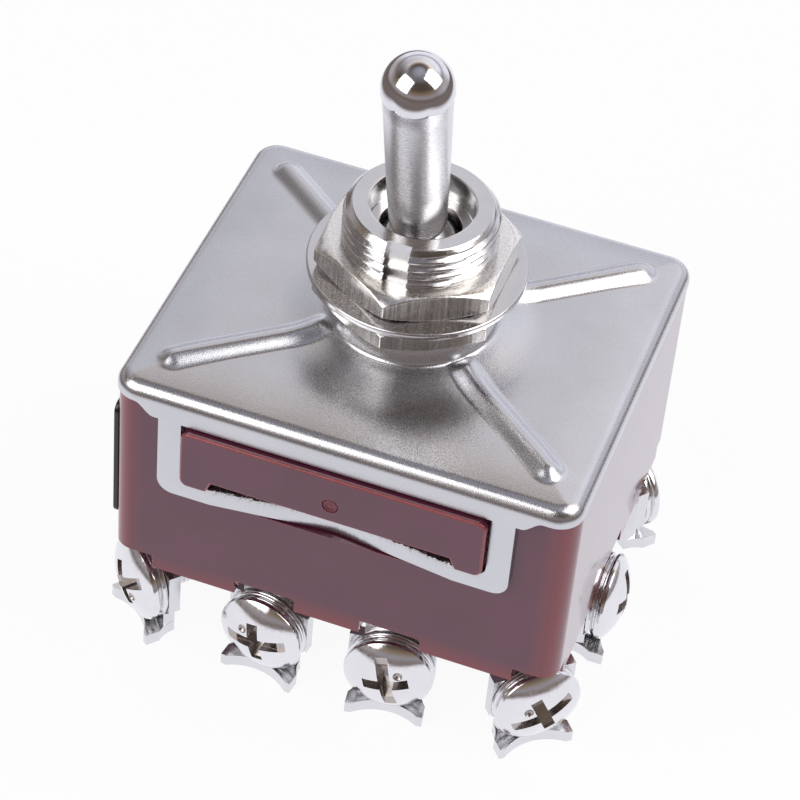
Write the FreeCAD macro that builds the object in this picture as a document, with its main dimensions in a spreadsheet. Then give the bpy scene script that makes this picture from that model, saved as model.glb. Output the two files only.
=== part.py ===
"""Four-pole changeover toggle switch for a panel, with screw terminals.

Frame: the origin is on the axis of the threaded bushing, where it meets the top face
of the cover. +Z runs up the bushing, X runs along the row of four terminals and the
lever swings in the YZ plane. All sizes are in millimetres, angles in degrees.
"""
import FreeCAD, Part

import math
import os

import Sketcher

# Driving sizes, one cell each

SIZES = [
    # cover, pressed from one sheet
    ("cover_len_x", 37.05),
    ("cover_len_y", 31.6),
    ("sheet", 0.6),
    ("cover_edge_rad", 1.5),
    ("cover_corner_rad", 2.0),
    ("side_skirt", 1.8),
    ("front_skirt", 3.0),
    ("skirt_step", 0.5),
    ("collar_wall", 0.85),
    ("collar_height", 2.6),
    ("collar_fillet", 0.7),
    ("rib_margin_x", 3.625),
    ("rib_margin_y", 3.9),
    ("rib_rad", 1.5),
    ("rib_rise", 0.6),
    ("strap_margin", 4.275),
    ("strap_leg", 1.9),
    ("strap_shift", -0.3),
    ("strap_drop", 10.5),
    ("strap_foot", 1.65),
    ("strap_corner_rad", 1.3),
    ("window_corner_rad", 0.9),
    ("crimp_depth", 1.2),
    ("crimp_margin", 1.4),
    ("crimp_slope", 1.0),
    # housing, one moulding
    ("body_inset", 0.05),
    ("body_depth", 20.1),
    ("body_corner_rad", 1.6),
    ("body_wall", 2.1),
    ("floor_thick", 2.0),
    ("foot_rim", 1.3),
    ("rebate_gap", 0.05),
    ("rim_round", 0.6),
    ("foot_rim_y", 1.1),
    ("notch_half", 2.5),
    ("corner_notch_len_x", 3.475),
    ("corner_notch_len_y", 2.4),
    ("corner_relief_len", 5.1),
    ("corner_skin", 0.35),
    ("block_gap", 0.15),
    ("recess_margin", 2.75),
    ("recess_rise", 1.15),
    ("recess_depth", 1.45),
    ("recess_slope", 0.5),
    ("recess_flare", 1.4),
    ("gate_rad", 0.65),
    ("gate_depth", 0.2),
    ("partition", 1.0),
    ("partition_shift", 0.2375),
    ("ledge_margin", 4.6),
    # insulating sheet and blank plate
    ("insulator", 0.4),
    ("label_margin", 1.2),
    ("label_top", 4.9),
    ("label_foot", 3.4),
    ("label_thick", 0.45),
    ("label_corner_rad", 0.8),
    # bushing
    ("thread_rad", 6.0),
    ("thread_depth", 0.25),
    ("bushing_top", 11.25),
    ("bushing_chamfer", 0.5),
    ("mouth_gap", 0.66333),
    ("mouth_round", 0.2),
    ("mouth_depth", 2.25),
    ("lip_grip", 0.47),
    ("lip_thick", 0.7),
    ("spigot_gap", 0.15),
    ("swage_width", 1.6),
    ("swage_thick", 0.9),
    ("keyway_width", 1.92),
    ("keyway_depth", 0.95),
    # nuts and washer
    ("nut_wall", 1.0),
    ("nut_thick", 2.4),
    ("nut_chamfer", 0.1),
    ("washer_width", 2.5),
    ("washer_round", 0.1),
    ("washer_thick", 0.6),
    # lever
    ("throw_angle", 12.2),
    ("pivot_height", 5.9),
    ("ball_rad", 3.62),
    ("ball_gap", 0.12),
    ("tip_rad", 2.72),
    ("tip_reach", 19.85),
    ("stem_rad", 2.2),
    ("stem_start", 4.9),
    ("stem_round", 0.85),
    ("neck_rad", 1.5),
    ("tail_rad", 0.95),
    ("tail_reach", 10.9),
    ("tail_ball_rad", 1.6),
    ("pin_rad", 0.8),
    ("pin_inset", 0.75),
    ("run_gap", 0.05),
    # carriage, plungers and springs
    ("pole_shift_inner", 0.13125),
    ("pole_shift_outer", 0.55625),
    ("carriage_gap", 0.175),
    ("carriage_half_y", 4.6),
    ("carriage_top", 2.6),
    ("carriage_under", 1.8),
    ("guide_len", 1.2),
    ("guide_gap", 0.1),
    ("slot_floor_gap", 0.9),
    ("bore_roof", 0.8),
    ("plunger_rad", 1.5),
    ("spring_room", 3.2),
    ("spring_rad", 1.15),
    ("wire_rad", 0.2),
    ("spring_turns", 4.0),
    ("relief_margin", 2.6),
    ("relief_reach", 1.2),
    ("relief_deep", 1.6),
    # contact rockers
    ("rocker_sheet", 0.8),
    ("rocker_width", 4.2),
    ("rocker_reach", 8.4),
    ("rocker_dish", 16.0),
    ("rocker_tilt", 10.0),
    ("rocker_rise", 1.75),
    ("contact_reach", 7.0),
    ("contact_rad", 1.15),
    ("contact_thick", 0.6),
    ("contact_gap", 0.08),
    ("fulcrum_rad", 0.6),
    # terminal lugs
    ("lug_sheet", 1.0),
    ("lug_inner_left", 1.15),
    ("lug_inner_right", 0.6),
    ("lug_inner_in", 1.4),
    ("lug_inner_turn", 8.0),
    ("lug_outer_in_x", 2.175),
    ("lug_outer_in_y", 2.8),
    ("lug_outer_turn", 41.0),
    ("lug_side_in", 0.625),
    ("lug_mid_out", 1.85),
    ("screw_drop", 4.0),
    ("lug_half", 3.5),
    ("shoulder_rise", 2.5),
    ("lug_flank", 2.0),
    ("lug_clip", 0.5),
    ("lug_clip_slope", 0.2),
    ("waist_half", 2.6),
    ("neck_half", 2.3),
    ("tail_half", 1.75),
    ("shelf_drop", 4.75),
    ("shelf_thick", 1.1),
    ("shelf_half", 3.15),
    ("shelf_reach", 1.8),
    ("shelf_arc_rad", 4.4),
    ("shelf_arc_bite", 0.9),
    ("flank_arc_rad", 2.6),
    ("lug_foot", 0.8),
    ("inner_bend", 1.5),
    ("outer_bend", 4.0),
    ("slot_gap", 0.05),
    # terminal screws
    ("flange_rad", 3.45),
    ("flange_thick", 0.5),
    ("head_rad", 3.3),
    ("head_rim", 0.55),
    ("head_height", 2.05),
    ("shank_rad", 1.7),
    ("shank_len", 4.2),
    ("slot_width", 0.8),
    ("slot_deep", 0.55),
    ("cross_half", 2.1),
    ("cross_width", 1.0),
    ("cross_deep", 1.35),
    ("dimple_x", 1.15),
    ("dimple_z", 0.85),
    ("dimple_rad", 0.5),
    ("dimple_deep", 0.2),
]


class Size:
    """A length with the text that binds it to the sheet and its present value."""

    def __init__(self, text, value):
        self.text = text
        self.value = value

    def _with(self, other, sign, value):
        return Size("(%s %s %s)" % (self.text, sign, sized(other).text), value)

    def __add__(self, other):
        return self._with(other, "+", self.value + sized(other).value)

    def __sub__(self, other):
        return self._with(other, "-", self.value - sized(other).value)

    def __mul__(self, other):
        return self._with(other, "*", self.value * sized(other).value)

    def __truediv__(self, other):
        return self._with(other, "/", self.value / sized(other).value)

    def __radd__(self, other):
        return sized(other) + self

    def __rsub__(self, other):
        return sized(other) - self

    def __rmul__(self, other):
        return sized(other) * self

    def __rtruediv__(self, other):
        return sized(other) / self

    def __neg__(self):
        return Size("(-1 * %s)" % self.text, -self.value)


def sized(number):
    """A plain number as a Size, and a Size as it is."""
    if isinstance(number, Size):
        return number
    return Size(repr(float(number)), float(number))


def sine(angle):
    return Size("sin(%s * 1 deg)" % sized(angle).text, math.sin(math.radians(sized(angle).value)))


def cosine(angle):
    return Size("cos(%s * 1 deg)" % sized(angle).text, math.cos(math.radians(sized(angle).value)))


def root(number):
    return Size("sqrt(%s)" % sized(number).text, math.sqrt(sized(number).value))


doc = FreeCAD.newDocument("toggle_switch")
sheet = doc.addObject("Spreadsheet::Sheet", "size")
S = {}
for row, (alias, value) in enumerate(SIZES, start=1):
    sheet.set("A%d" % row, alias)
    sheet.set("B%d" % row, str(value))
    sheet.setAlias("B%d" % row, alias)
    S[alias] = Size("size.%s" % alias, value)
doc.recompute()


# Small builders: every length and place is bound to the sheet


def bind(thing, prop, amount):
    thing.setExpression(prop, sized(amount).text)


def put(thing, x=0, y=0, z=0):
    """Binds the place of an object."""
    bind(thing, "Placement.Base.x", x)
    bind(thing, "Placement.Base.y", y)
    bind(thing, "Placement.Base.z", z)
    return thing


def turn(thing, axis, angle):
    """Turns an object about an axis through its own origin, by a bound angle."""
    # a first turn that is not zero keeps the axis
    thing.Placement.Rotation = FreeCAD.Rotation(FreeCAD.Vector(*axis), 1.0)
    bind(thing, "Placement.Rotation.Angle", angle)
    return thing


def add(kind, name):
    return doc.addObject(kind, name)


def block(name, x, y, z):
    """A box from its low and high limit along each axis."""
    thing = add("Part::Box", name)
    bind(thing, "Length", x[1] - x[0])
    bind(thing, "Width", y[1] - y[0])
    bind(thing, "Height", z[1] - z[0])
    return put(thing, x[0], y[0], z[0])


def both(half, middle=0):
    """The limits of a span about its middle."""
    return (sized(middle) - half, sized(middle) + half)


AXES = {"x": (0, 1, 0), "y": (-1, 0, 0)}


def rod(name, radius, low, high, x=0, y=0, z=0, along="z"):
    """A round bar from low to high along an axis; x, y and z place its centre line."""
    thing = add("Part::Cylinder", name)
    bind(thing, "Radius", radius)
    bind(thing, "Height", sized(high) - low)
    if along in AXES:
        turn(thing, AXES[along], 90)
    start = {"x": x, "y": y, "z": z}
    start[along] = low
    return put(thing, start["x"], start["y"], start["z"])


def taper(name, lower_rad, upper_rad, low, high):
    thing = add("Part::Cone", name)
    bind(thing, "Radius1", lower_rad)
    bind(thing, "Radius2", upper_rad)
    bind(thing, "Height", sized(high) - low)
    return put(thing, 0, 0, low)


def ball(name, radius, x=0, y=0, z=0):
    thing = add("Part::Sphere", name)
    bind(thing, "Radius", radius)
    return put(thing, x, y, z)


def joined(name, pieces):
    thing = add("Part::MultiFuse", name)
    thing.Shapes = pieces
    thing.Refine = True
    return thing


def minus(name, base, tools):
    """The base with every tool cut out of it."""
    tool = tools[0]
    if len(tools) > 1:
        tool = add("Part::MultiFuse", name + "_tools")
        tool.Shapes = tools
    thing = add("Part::Cut", name)
    thing.Base = base
    thing.Tool = tool
    thing.Refine = True
    return thing


def shared(name, pieces):
    thing = add("Part::MultiCommon", name)
    thing.Shapes = pieces
    thing.Refine = True
    return thing


def copy_of(name, source):
    """The same piece again, with a placement of its own."""
    thing = add("Part::Compound", name)
    thing.Links = [source]
    return thing


def rounded(name, base, choose, radius):
    """Rounds the edges of base that the function choose picks."""
    doc.recompute()
    thing = add("Part::Fillet", name)
    thing.Base = base
    picked = [number for number, edge in enumerate(base.Shape.Edges, start=1) if choose(edge)]
    thing.Edges = [(number, radius.value, radius.value) for number in picked]
    return thing


def upright(edge):
    ends = edge.Vertexes
    return len(ends) == 2 and abs(ends[0].Z - ends[1].Z) > 0.5 and abs(ends[0].X - ends[1].X) < 1e-6 \
        and abs(ends[0].Y - ends[1].Y) < 1e-6


def level_at(height):
    """Picks edges that lie wholly at one height."""
    def choose(edge):
        box = edge.BoundBox
        return abs(box.ZMin - height) < 1e-6 and abs(box.ZMax - height) < 1e-6
    return choose


def outline(name, points, plane="XY"):
    """A closed sketch whose every corner is bound to the sheet."""
    sketch = add("Sketcher::SketchObject", name)
    if plane == "XZ":
        sketch.Placement.Rotation = FreeCAD.Rotation(FreeCAD.Vector(1, 0, 0), 90)
    if plane == "YZ":
        sketch.Placement.Rotation = FreeCAD.Rotation(FreeCAD.Vector(1, 1, 1), 120)
    trace(sketch, points)
    return sketch


def trace(sketch, points):
    """Adds a closed run of straight lines to a sketch, and binds its corners."""
    first = sketch.GeometryCount
    places = [(sized(a), sized(b)) for a, b in points]
    corners = [FreeCAD.Vector(a.value, b.value, 0) for a, b in places]
    for index, corner in enumerate(corners):
        sketch.addGeometry(Part.LineSegment(corner, corners[(index + 1) % len(corners)]), False)
    for index in range(len(corners)):
        after = (index + 1) % len(corners)
        sketch.addConstraint(Sketcher.Constraint("Coincident", first + index, 2, first + after, 1))
    for index, (a, b) in enumerate(places):
        for kind, amount, axis in (("DistanceX", a, -2), ("DistanceY", b, -1)):
            if abs(amount.value) < 1e-9:
                sketch.addConstraint(Sketcher.Constraint("PointOnObject", first + index, 1, axis))
            else:
                rule = Sketcher.Constraint(kind, -1, 1, first + index, 1, amount.value)
                number = sketch.addConstraint(rule)
                bind(sketch, "Constraints[%d]" % number, amount)


def pushed(name, sketch, length, direction):
    """A sketch drawn out along a direction."""
    thing = add("Part::Extrusion", name)
    thing.Base = sketch
    thing.DirMode = "Custom"
    thing.Dir = FreeCAD.Vector(*direction)
    bind(thing, "LengthFwd", length)
    thing.Solid = True
    return thing


def body_with(name):
    return add("PartDesign::Body", name)


def origin_plane(body, role):
    return [item for item in body.Origin.OriginFeatures if item.Role == role][0]


def body_sketch(body, name, role, points, holes=()):
    """A sketch on one of the body's own planes."""
    sketch = body.newObject("Sketcher::SketchObject", name)
    sketch.AttachmentSupport = [(origin_plane(body, role), "")]
    sketch.MapMode = "FlatFace"
    trace(sketch, points)
    for hole in holes:
        trace(sketch, hole)
    return sketch


def turned(body, name, sketch):
    """A full turn of a profile about Z."""
    thing = body.newObject("PartDesign::Revolution", name)
    thing.Profile = sketch
    thing.ReferenceAxis = (sketch, ["V_Axis"])
    thing.Angle = 360
    return thing


NODES = []


def node(thing, label):
    """Names a finished sub-part."""
    thing.Label = label
    NODES.append(thing)
    return thing


# Levels and spans that several pieces share

half_x = S["cover_len_x"] / 2
half_y = S["cover_len_y"] / 2
body_half_x = half_x - S["body_inset"]
body_half_y = half_y - S["sheet"]
body_top = -(S["sheet"] + S["insulator"])
body_base = -S["body_depth"]
floor_under = body_base + S["foot_rim"]
floor_top = floor_under + S["floor_thick"]
room_x = body_half_x - S["body_wall"]
room_y = body_half_y - S["body_wall"]
rib_tip_x = half_x - S["rib_margin_x"]
rib_tip_y = half_y - S["rib_margin_y"]
strap_half = half_x - S["strap_margin"]
window_half = strap_half - S["strap_leg"]
crimp_half = window_half - S["crimp_margin"]
recess_half = window_half - S["recess_margin"]
strap_base = -S["strap_drop"]
window_base = strap_base + S["strap_foot"]
window_top = -S["front_skirt"]
lower_nut_base = S["collar_height"]
washer_base = lower_nut_base + S["nut_thick"]
upper_nut_base = washer_base + S["washer_thick"]
upper_nut_top = upper_nut_base + S["nut_thick"]
screw_z = body_base - S["screw_drop"]
foot_top = floor_top + S["lug_foot"]

# Four rooms of one width, each pole a little off its middle

pole_room = (2 * room_x - 3 * S["partition"]) / 4
pole_inner = S["partition"] / 2 + pole_room / 2 + S["pole_shift_inner"]
pole_outer = room_x - pole_room / 2 - S["pole_shift_outer"]
partition_x = S["partition"] + pole_room + S["partition_shift"]
pole_places = [-pole_outer, -pole_inner, pole_inner, pole_outer]

# The bushing and what turns or sits on it

pitch_rad = S["thread_rad"] - S["thread_depth"]
spigot_rad = pitch_rad - S["spigot_gap"]
swage_rad = spigot_rad + S["swage_width"]
collar_rad = spigot_rad + S["collar_wall"]
nut_flats = 2 * (S["thread_rad"] + S["nut_wall"])
nut_crown = nut_flats / 2 - S["nut_chamfer"]
washer_rad = S["thread_rad"] + S["washer_width"]
mouth_swing = (S["bushing_top"] - S["pivot_height"]) * sine(S["throw_angle"]) / cosine(S["throw_angle"])
mouth_rad = S["stem_rad"] + mouth_swing + S["mouth_gap"]
lip_rad = S["ball_rad"] - S["lip_grip"]
pin_half = pitch_rad - S["pin_inset"]

# The lever's tail, the carriage it slides and what the carriage presses

travel = S["tail_reach"] * sine(S["throw_angle"])
tail_low = S["pivot_height"] - S["tail_reach"] - S["tail_ball_rad"]
carriage_base = tail_low - S["carriage_under"]
carriage_half_x = room_x - S["carriage_gap"]
bore_top = -S["carriage_top"] - S["bore_roof"]
plunger_top = bore_top - S["spring_room"]
rocker_z = floor_top + S["rocker_rise"]

# Places of the lugs, by the walls and poles they stand at

lug_left_x = pole_inner + S["lug_inner_left"]
lug_right_x = pole_inner + S["lug_inner_right"]
lug_inner_y = body_half_y - S["lug_inner_in"]
lug_outer_x = body_half_x - S["lug_outer_in_x"]
lug_outer_y = body_half_y - S["lug_outer_in_y"]
lug_side_x = body_half_x - S["lug_side_in"]
lug_mid_x = pole_inner + S["lug_mid_out"]


def build_cover():
    """Sheet cover: flat top with rolled edges, four pressed ribs, a drawn collar and two straps."""
    deep = S["front_skirt"]
    outer = block("cover_outer", both(half_x), both(half_y), (-deep, sized(0)))
    outer = rounded("cover_outer_corners", outer, upright, S["cover_corner_rad"])
    outer = rounded("cover_outer_roll", outer, level_at(0.0), S["cover_edge_rad"])
    inner = block("cover_inner", both(half_x - S["sheet"]), both(half_y - S["sheet"]),
                  (-deep - 1, -S["sheet"]))
    inner = rounded("cover_inner_corners", inner, upright, S["cover_corner_rad"] - S["sheet"])
    inner = rounded("cover_inner_roll", inner, level_at(-S["sheet"].value), S["cover_edge_rad"] - S["sheet"])
    # the lower edge of the skirt runs up towards the corners
    bend = strap_half + S["skirt_step"]
    corner = half_x - S["cover_corner_rad"] - S["skirt_step"] / 5
    edge = [
        (-half_x - 1, sized(1)),
        (-half_x - 1, -S["side_skirt"]),
        (-corner, -S["side_skirt"]),
        (S["strap_shift"] - bend, -deep + S["skirt_step"] / 5),
        (S["strap_shift"] - strap_half, -deep),
        (S["strap_shift"] + strap_half, -deep),
        (S["strap_shift"] + bend, -deep + S["skirt_step"] / 5),
        (corner, -S["side_skirt"]),
        (half_x + 1, -S["side_skirt"]),
        (half_x + 1, sized(1)),
    ]
    skirt_line = outline("cover_skirt_line", edge, "XZ")
    put(skirt_line, 0, half_y + 1, 0)
    skirt = pushed("cover_skirt_span", skirt_line, S["cover_len_y"] + 2, (0, -1, 0))
    shell = shared("cover_shell", [minus("cover_tray", outer, [inner]), skirt])
    pieces = [shell]
    collar = rod("cover_collar", collar_rad, -S["sheet"], S["collar_height"])
    collar = rounded("cover_collar_round", collar, level_at(S["collar_height"].value), S["collar_fillet"])
    pieces.append(collar)
    hollows = []
    reach = root(rib_tip_x * rib_tip_x + rib_tip_y * rib_tip_y)
    sink = S["rib_rad"] - S["rib_rise"]
    for index, (side_x, side_y) in enumerate(((1, 1), (-1, 1), (-1, -1), (1, -1)), start=1):
        for kind, radius, store in (("rib", S["rib_rad"], pieces),
                                    ("rib_hollow", S["rib_rad"] - S["sheet"], hollows)):
            length = rod("cover_%s_%d" % (kind, index), radius, 0, reach, along="x")
            tip = ball("cover_%s_tip_%d" % (kind, index), radius, reach)
            straight = joined("cover_%s_bar_%d" % (kind, index), [length, tip])
            angle = math.degrees(math.atan2(side_y * rib_tip_y.value, side_x * rib_tip_x.value))
            slant = Size("atan2(%s; %s)" % ((side_y * rib_tip_y).text, (side_x * rib_tip_x).text), angle)
            turn(straight, (0, 0, 1), slant)
            put(straight, 0, 0, -sink)
            if kind == "rib":
                top = block("cover_rib_span_%d" % index, both(half_x), both(half_y),
                            (-S["sheet"], S["rib_rad"]))
                straight = shared("cover_rib_top_%d" % index, [straight, top])
            store.append(straight)
    for side, name in ((-1, "front"), (1, "rear")):
        pieces.append(build_strap(side, name))
    hollows.append(rod("cover_bore", spigot_rad, -S["sheet"] - 1, S["collar_height"] + 1))
    cover = minus("cover", joined("cover_solid", pieces), hollows)
    return node(cover, "cover_plate")


def build_strap(side, name):
    """A window frame in the sheet that hooks over the housing block, its foot crimped inwards."""
    inner = -body_half_y if side < 0 else body_half_y + S["sheet"]
    shift = S["strap_shift"]
    through = (inner - S["sheet"] - 1, inner + 1)
    frame = block("strap_%s_frame" % name, both(strap_half, shift), (inner - S["sheet"], inner),
                  (strap_base, window_top + S["sheet"]))
    frame = rounded("strap_%s_round" % name, frame, along_y_at(strap_base.value), S["strap_corner_rad"])
    window = block("strap_%s_window" % name, both(window_half, shift), through, (window_base, window_top))
    window = rounded("strap_%s_window_round" % name, window, along_y, S["window_corner_rad"])
    gap = block("strap_%s_gap" % name, both(crimp_half, shift), through,
                (strap_base - 1, window_base + S["sheet"] / 2))
    frame = minus("strap_%s_open" % name, frame, [window, gap])
    # the foot runs in a shallow V, in towards the housing
    outer_line = inner - S["sheet"] if side < 0 else inner
    inner_line = inner if side < 0 else inner - S["sheet"]
    push = -side * S["crimp_depth"]
    points = [
        (-crimp_half - S["crimp_slope"] / 5, outer_line),
        (-crimp_half + S["crimp_slope"], outer_line),
        (sized(0), outer_line + push),
        (crimp_half - S["crimp_slope"], outer_line),
        (crimp_half + S["crimp_slope"] / 5, outer_line),
        (crimp_half + S["crimp_slope"] / 5, inner_line),
        (crimp_half - S["crimp_slope"], inner_line),
        (sized(0), inner_line + push),
        (-crimp_half + S["crimp_slope"], inner_line),
        (-crimp_half - S["crimp_slope"] / 5, inner_line),
    ]
    line = outline("strap_%s_foot_line" % name, points)
    put(line, shift, 0, strap_base)
    foot = pushed("strap_%s_foot" % name, line, S["strap_foot"], (0, 0, 1))
    return joined("strap_%s" % name, [frame, foot])


def along_y(edge):
    ends = edge.Vertexes
    return len(ends) == 2 and abs(ends[0].Y - ends[1].Y) > 0.5 and abs(ends[0].X - ends[1].X) < 1e-6 \
        and abs(ends[0].Z - ends[1].Z) < 1e-6


def along_y_at(height):
    def choose(edge):
        return along_y(edge) and abs(edge.Vertexes[0].Z - height) < 1e-6
    return choose


def build_bushing():
    """Threaded barrel with a keyway, a bored mouth, a lip over the pivot ball and a swaged foot."""
    body = body_with("bushing_body")
    cavity = S["ball_rad"] + S["ball_gap"]
    top = S["bushing_top"]
    lip_top = top - S["mouth_depth"]
    lip_low = lip_top - S["lip_thick"]
    foot_low = -(S["sheet"] + S["swage_thick"])
    profile = [
        (cavity, foot_low),
        (swage_rad, foot_low),
        (swage_rad, -S["sheet"]),
        (spigot_rad, -S["sheet"]),
        (spigot_rad, S["collar_height"]),
        (pitch_rad, S["collar_height"]),
        (pitch_rad, upper_nut_top),
        (S["thread_rad"], upper_nut_top),
        (S["thread_rad"], top - S["bushing_chamfer"]),
        (S["thread_rad"] - S["bushing_chamfer"], top),
        (mouth_rad + S["mouth_round"], top),
        (mouth_rad, top - S["mouth_round"]),
        (mouth_rad, lip_top),
        (lip_rad, lip_top),
        (lip_rad, lip_low),
        (cavity, lip_low - 0.5),
    ]
    sketch = body_sketch(body, "bushing_profile", "XZ_Plane", profile)
    turned(body, "bushing_turned", sketch)
    keyway = block("bushing_keyway", both(S["keyway_width"] / 2),
                   (-S["thread_rad"] - 1, -S["thread_rad"] + S["keyway_depth"]),
                   (S["collar_height"] - 0.5, top + 1))
    cross_hole = rod("bushing_cross_hole", S["pin_rad"], -S["thread_rad"] - 1, S["thread_rad"] + 1,
                     z=S["pivot_height"], along="x")
    return node(minus("bushing_cut", body, [keyway, cross_hole]), "bushing")


def build_nut(name, base):
    """Hexagon nut with both faces turned to a crown, a corner pointing to the keyway."""
    corner_rad = nut_flats / root(3)
    prism = add("Part::Prism", name + "_prism")
    prism.Polygon = 6
    bind(prism, "Circumradius", corner_rad)
    bind(prism, "Height", S["nut_thick"])
    turn(prism, (0, 0, 1), 30)
    put(prism, 0, 0, base)
    spread = S["nut_thick"] * root(3)
    lower = taper(name + "_lower_crown", nut_crown, nut_crown + spread, base, base + S["nut_thick"])
    upper = taper(name + "_upper_crown", nut_crown + spread, nut_crown, base, base + S["nut_thick"])
    hexagon = shared(name + "_crowned", [prism, lower, upper])
    bore = rod(name + "_bore", pitch_rad, base - 1, base + S["nut_thick"] + 1)
    return node(minus(name + "_cut", hexagon, [bore]), name)


def build_washer():
    """Plain washer between the nuts."""
    body = body_with("panel_washer_body")
    profile = [
        (S["thread_rad"] + S["run_gap"], washer_base),
        (washer_rad - S["washer_round"], washer_base),
        (washer_rad, washer_base + S["washer_round"]),
        (washer_rad, upper_nut_base - S["washer_round"]),
        (washer_rad - S["washer_round"], upper_nut_base),
        (S["thread_rad"] + S["run_gap"], upper_nut_base),
    ]
    turned(body, "washer_turned", body_sketch(body, "washer_profile", "XZ_Plane", profile))
    return node(body, "panel_washer")


def build_lever():
    """Bat lever on a cross pin: domed tip, tapered stem, pivot ball and a tail with a ball end."""
    foot = S["stem_start"]
    stem = taper("lever_stem", S["stem_rad"], S["tip_rad"], foot, S["tip_reach"])
    tip = ball("lever_tip", S["tip_rad"], 0, 0, S["tip_reach"])
    shoulder_ring = add("Part::Torus", "lever_shoulder_ring")
    bind(shoulder_ring, "Radius1", S["stem_rad"] - S["stem_round"])
    bind(shoulder_ring, "Radius2", S["stem_round"])
    put(shoulder_ring, 0, 0, foot)
    shoulder_core = rod("lever_shoulder_core", S["stem_rad"] - S["stem_round"], foot - S["stem_round"], foot)
    neck = rod("lever_neck", S["neck_rad"], 0, foot)
    pivot = ball("lever_ball", S["ball_rad"])
    tail = rod("lever_tail", S["tail_rad"], -S["tail_reach"], 0)
    end = ball("lever_tail_ball", S["tail_ball_rad"], 0, 0, -S["tail_reach"])
    solid = joined("lever_solid", [stem, tip, shoulder_ring, shoulder_core, neck, pivot, tail, end])
    hole = rod("lever_pin_hole", S["pin_rad"] + S["run_gap"], -S["ball_rad"] - 1, S["ball_rad"] + 1,
               along="x")
    lever = minus("lever_cut", solid, [hole])
    turn(lever, (1, 0, 0), S["throw_angle"])
    put(lever, 0, 0, S["pivot_height"])
    return node(lever, "lever")


def build_pivot_pin():
    """Steel cross pin that carries the lever, held in the bushing wall."""
    pin = rod("pivot_pin_rod", S["pin_rad"], -pin_half, pin_half, z=S["pivot_height"], along="x")
    return node(pin, "pivot_pin")


def build_housing():
    """Moulded body: outer box with a rim, block and crimp recess on both long sides, four pole rooms."""
    outer = block("housing_outer", both(body_half_x), both(body_half_y), (body_base, body_top))
    outer = rounded("housing_corners", outer, upright, S["body_corner_rad"])
    rim = rebate_tool()
    pieces = [outer]
    cuts = [rim]
    for side, name in ((-1, "front"), (1, "rear")):
        pieces.append(build_block(side, name))
        cuts.append(build_recess(side, name))
    room = block("housing_room", both(room_x), both(room_y), (floor_top, sized(0)))
    under = block("housing_underside", both(body_half_x - S["body_wall"]),
                  both(body_half_y - S["foot_rim_y"]), (body_base - 1, floor_under))
    cuts += [room, under]
    cuts += notch_tools()
    cuts.append(rod("housing_gate", S["gate_rad"], -half_y - 1, -half_y + S["rebate_gap"] + S["gate_depth"],
                    x=S["strap_shift"], z=(window_base + window_top) / 2 - 0.1, along="y"))
    shell = minus("housing_shell", joined("housing_mass", pieces), cuts)
    inside = [shell]
    inside += partitions_and_ledges()
    whole = joined("housing_whole", inside)
    return node(minus("housing_cut", whole, lug_slots()), "housing")


def rebate_tool():
    """What is cut away round the top of the housing for the skirt of the cover."""
    high = block("rebate_high", both(body_half_x + 1), both(body_half_y + 1),
                 (-S["side_skirt"] - S["rebate_gap"], sized(1)))
    keep = block("rebate_keep", both(half_x - S["sheet"] - S["rebate_gap"]),
                 both(body_half_y - S["rebate_gap"]), (-S["side_skirt"] - 2, body_top))
    keep = rounded("rebate_keep_corners", keep, upright, S["cover_corner_rad"] - S["sheet"])
    keep = rounded("rebate_keep_round", keep, level_at(body_top.value), S["rim_round"])
    return minus("rebate_tool", high, [keep])


def build_block(side, name):
    """The raised block that fills the strap's window."""
    face = half_y - S["rebate_gap"]
    span = (-face, -body_half_y + 0.5) if side < 0 else (body_half_y - 0.5, face)
    raised = block("block_%s" % name, both(window_half - S["block_gap"], S["strap_shift"]), span,
                   (window_base + 0.15, window_top - S["block_gap"]))
    return rounded("block_%s_round" % name, raised, along_y, S["window_corner_rad"] - 0.2)


def build_recess(side, name):
    """The recess under the block that takes the crimped foot of the strap."""
    half = recess_half
    flare = half + S["recess_slope"] + S["recess_flare"]
    low = strap_base - 0.15
    points = [
        (-flare, low),
        (flare, low),
        (half + S["recess_slope"], window_base + 0.05),
        (half, window_base + S["recess_rise"]),
        (-half, window_base + S["recess_rise"]),
        (-half - S["recess_slope"], window_base + 0.05),
    ]
    line = outline("recess_%s_line" % name, points, "XZ")
    start = -body_half_y + S["recess_depth"] if side < 0 else half_y + 1
    put(line, S["strap_shift"], start, 0)
    return pushed("recess_%s" % name, line, S["recess_depth"] + S["sheet"] + 1, (0, -1, 0))


def notch_tools():
    """Notches in the lower rim where the lugs come out."""
    high = floor_under
    low = body_base - 1
    tools = []
    for side_x in (-1, 1):
        for side_y in (-1, 1):
            centre = lug_right_x if side_x > 0 else -lug_left_x
            y_span = (body_half_y - S["body_wall"] - 1, body_half_y + 1)
            if side_y < 0:
                y_span = (-y_span[1], -y_span[0])
            tools.append(block("notch_inner", (centre - S["notch_half"], centre + S["notch_half"]),
                               y_span, (low, high)))
            x_span = (body_half_x - S["corner_notch_len_x"], body_half_x + 1)
            if side_x < 0:
                x_span = (-x_span[1], -x_span[0])
            y_span = (body_half_y - S["corner_notch_len_y"], body_half_y + 1)
            if side_y < 0:
                y_span = (-y_span[1], -y_span[0])
            tools.append(block("notch_corner", x_span, y_span, (low, high)))
            x_short = (room_x - 0.5, body_half_x - S["corner_skin"])
            if side_x < 0:
                x_short = (-x_short[1], -x_short[0])
            y_short = (body_half_y - S["corner_relief_len"], body_half_y + 1)
            if side_y < 0:
                y_short = (-y_short[1], -y_short[0])
            tools.append(block("notch_side", x_short, y_short, (low, high)))
        x_span = (room_x - 1, body_half_x + 1)
        if side_x < 0:
            x_span = (-x_span[1], -x_span[0])
        tools.append(block("notch_middle", x_span, both(S["notch_half"]), (low, high)))
    return tools


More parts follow.
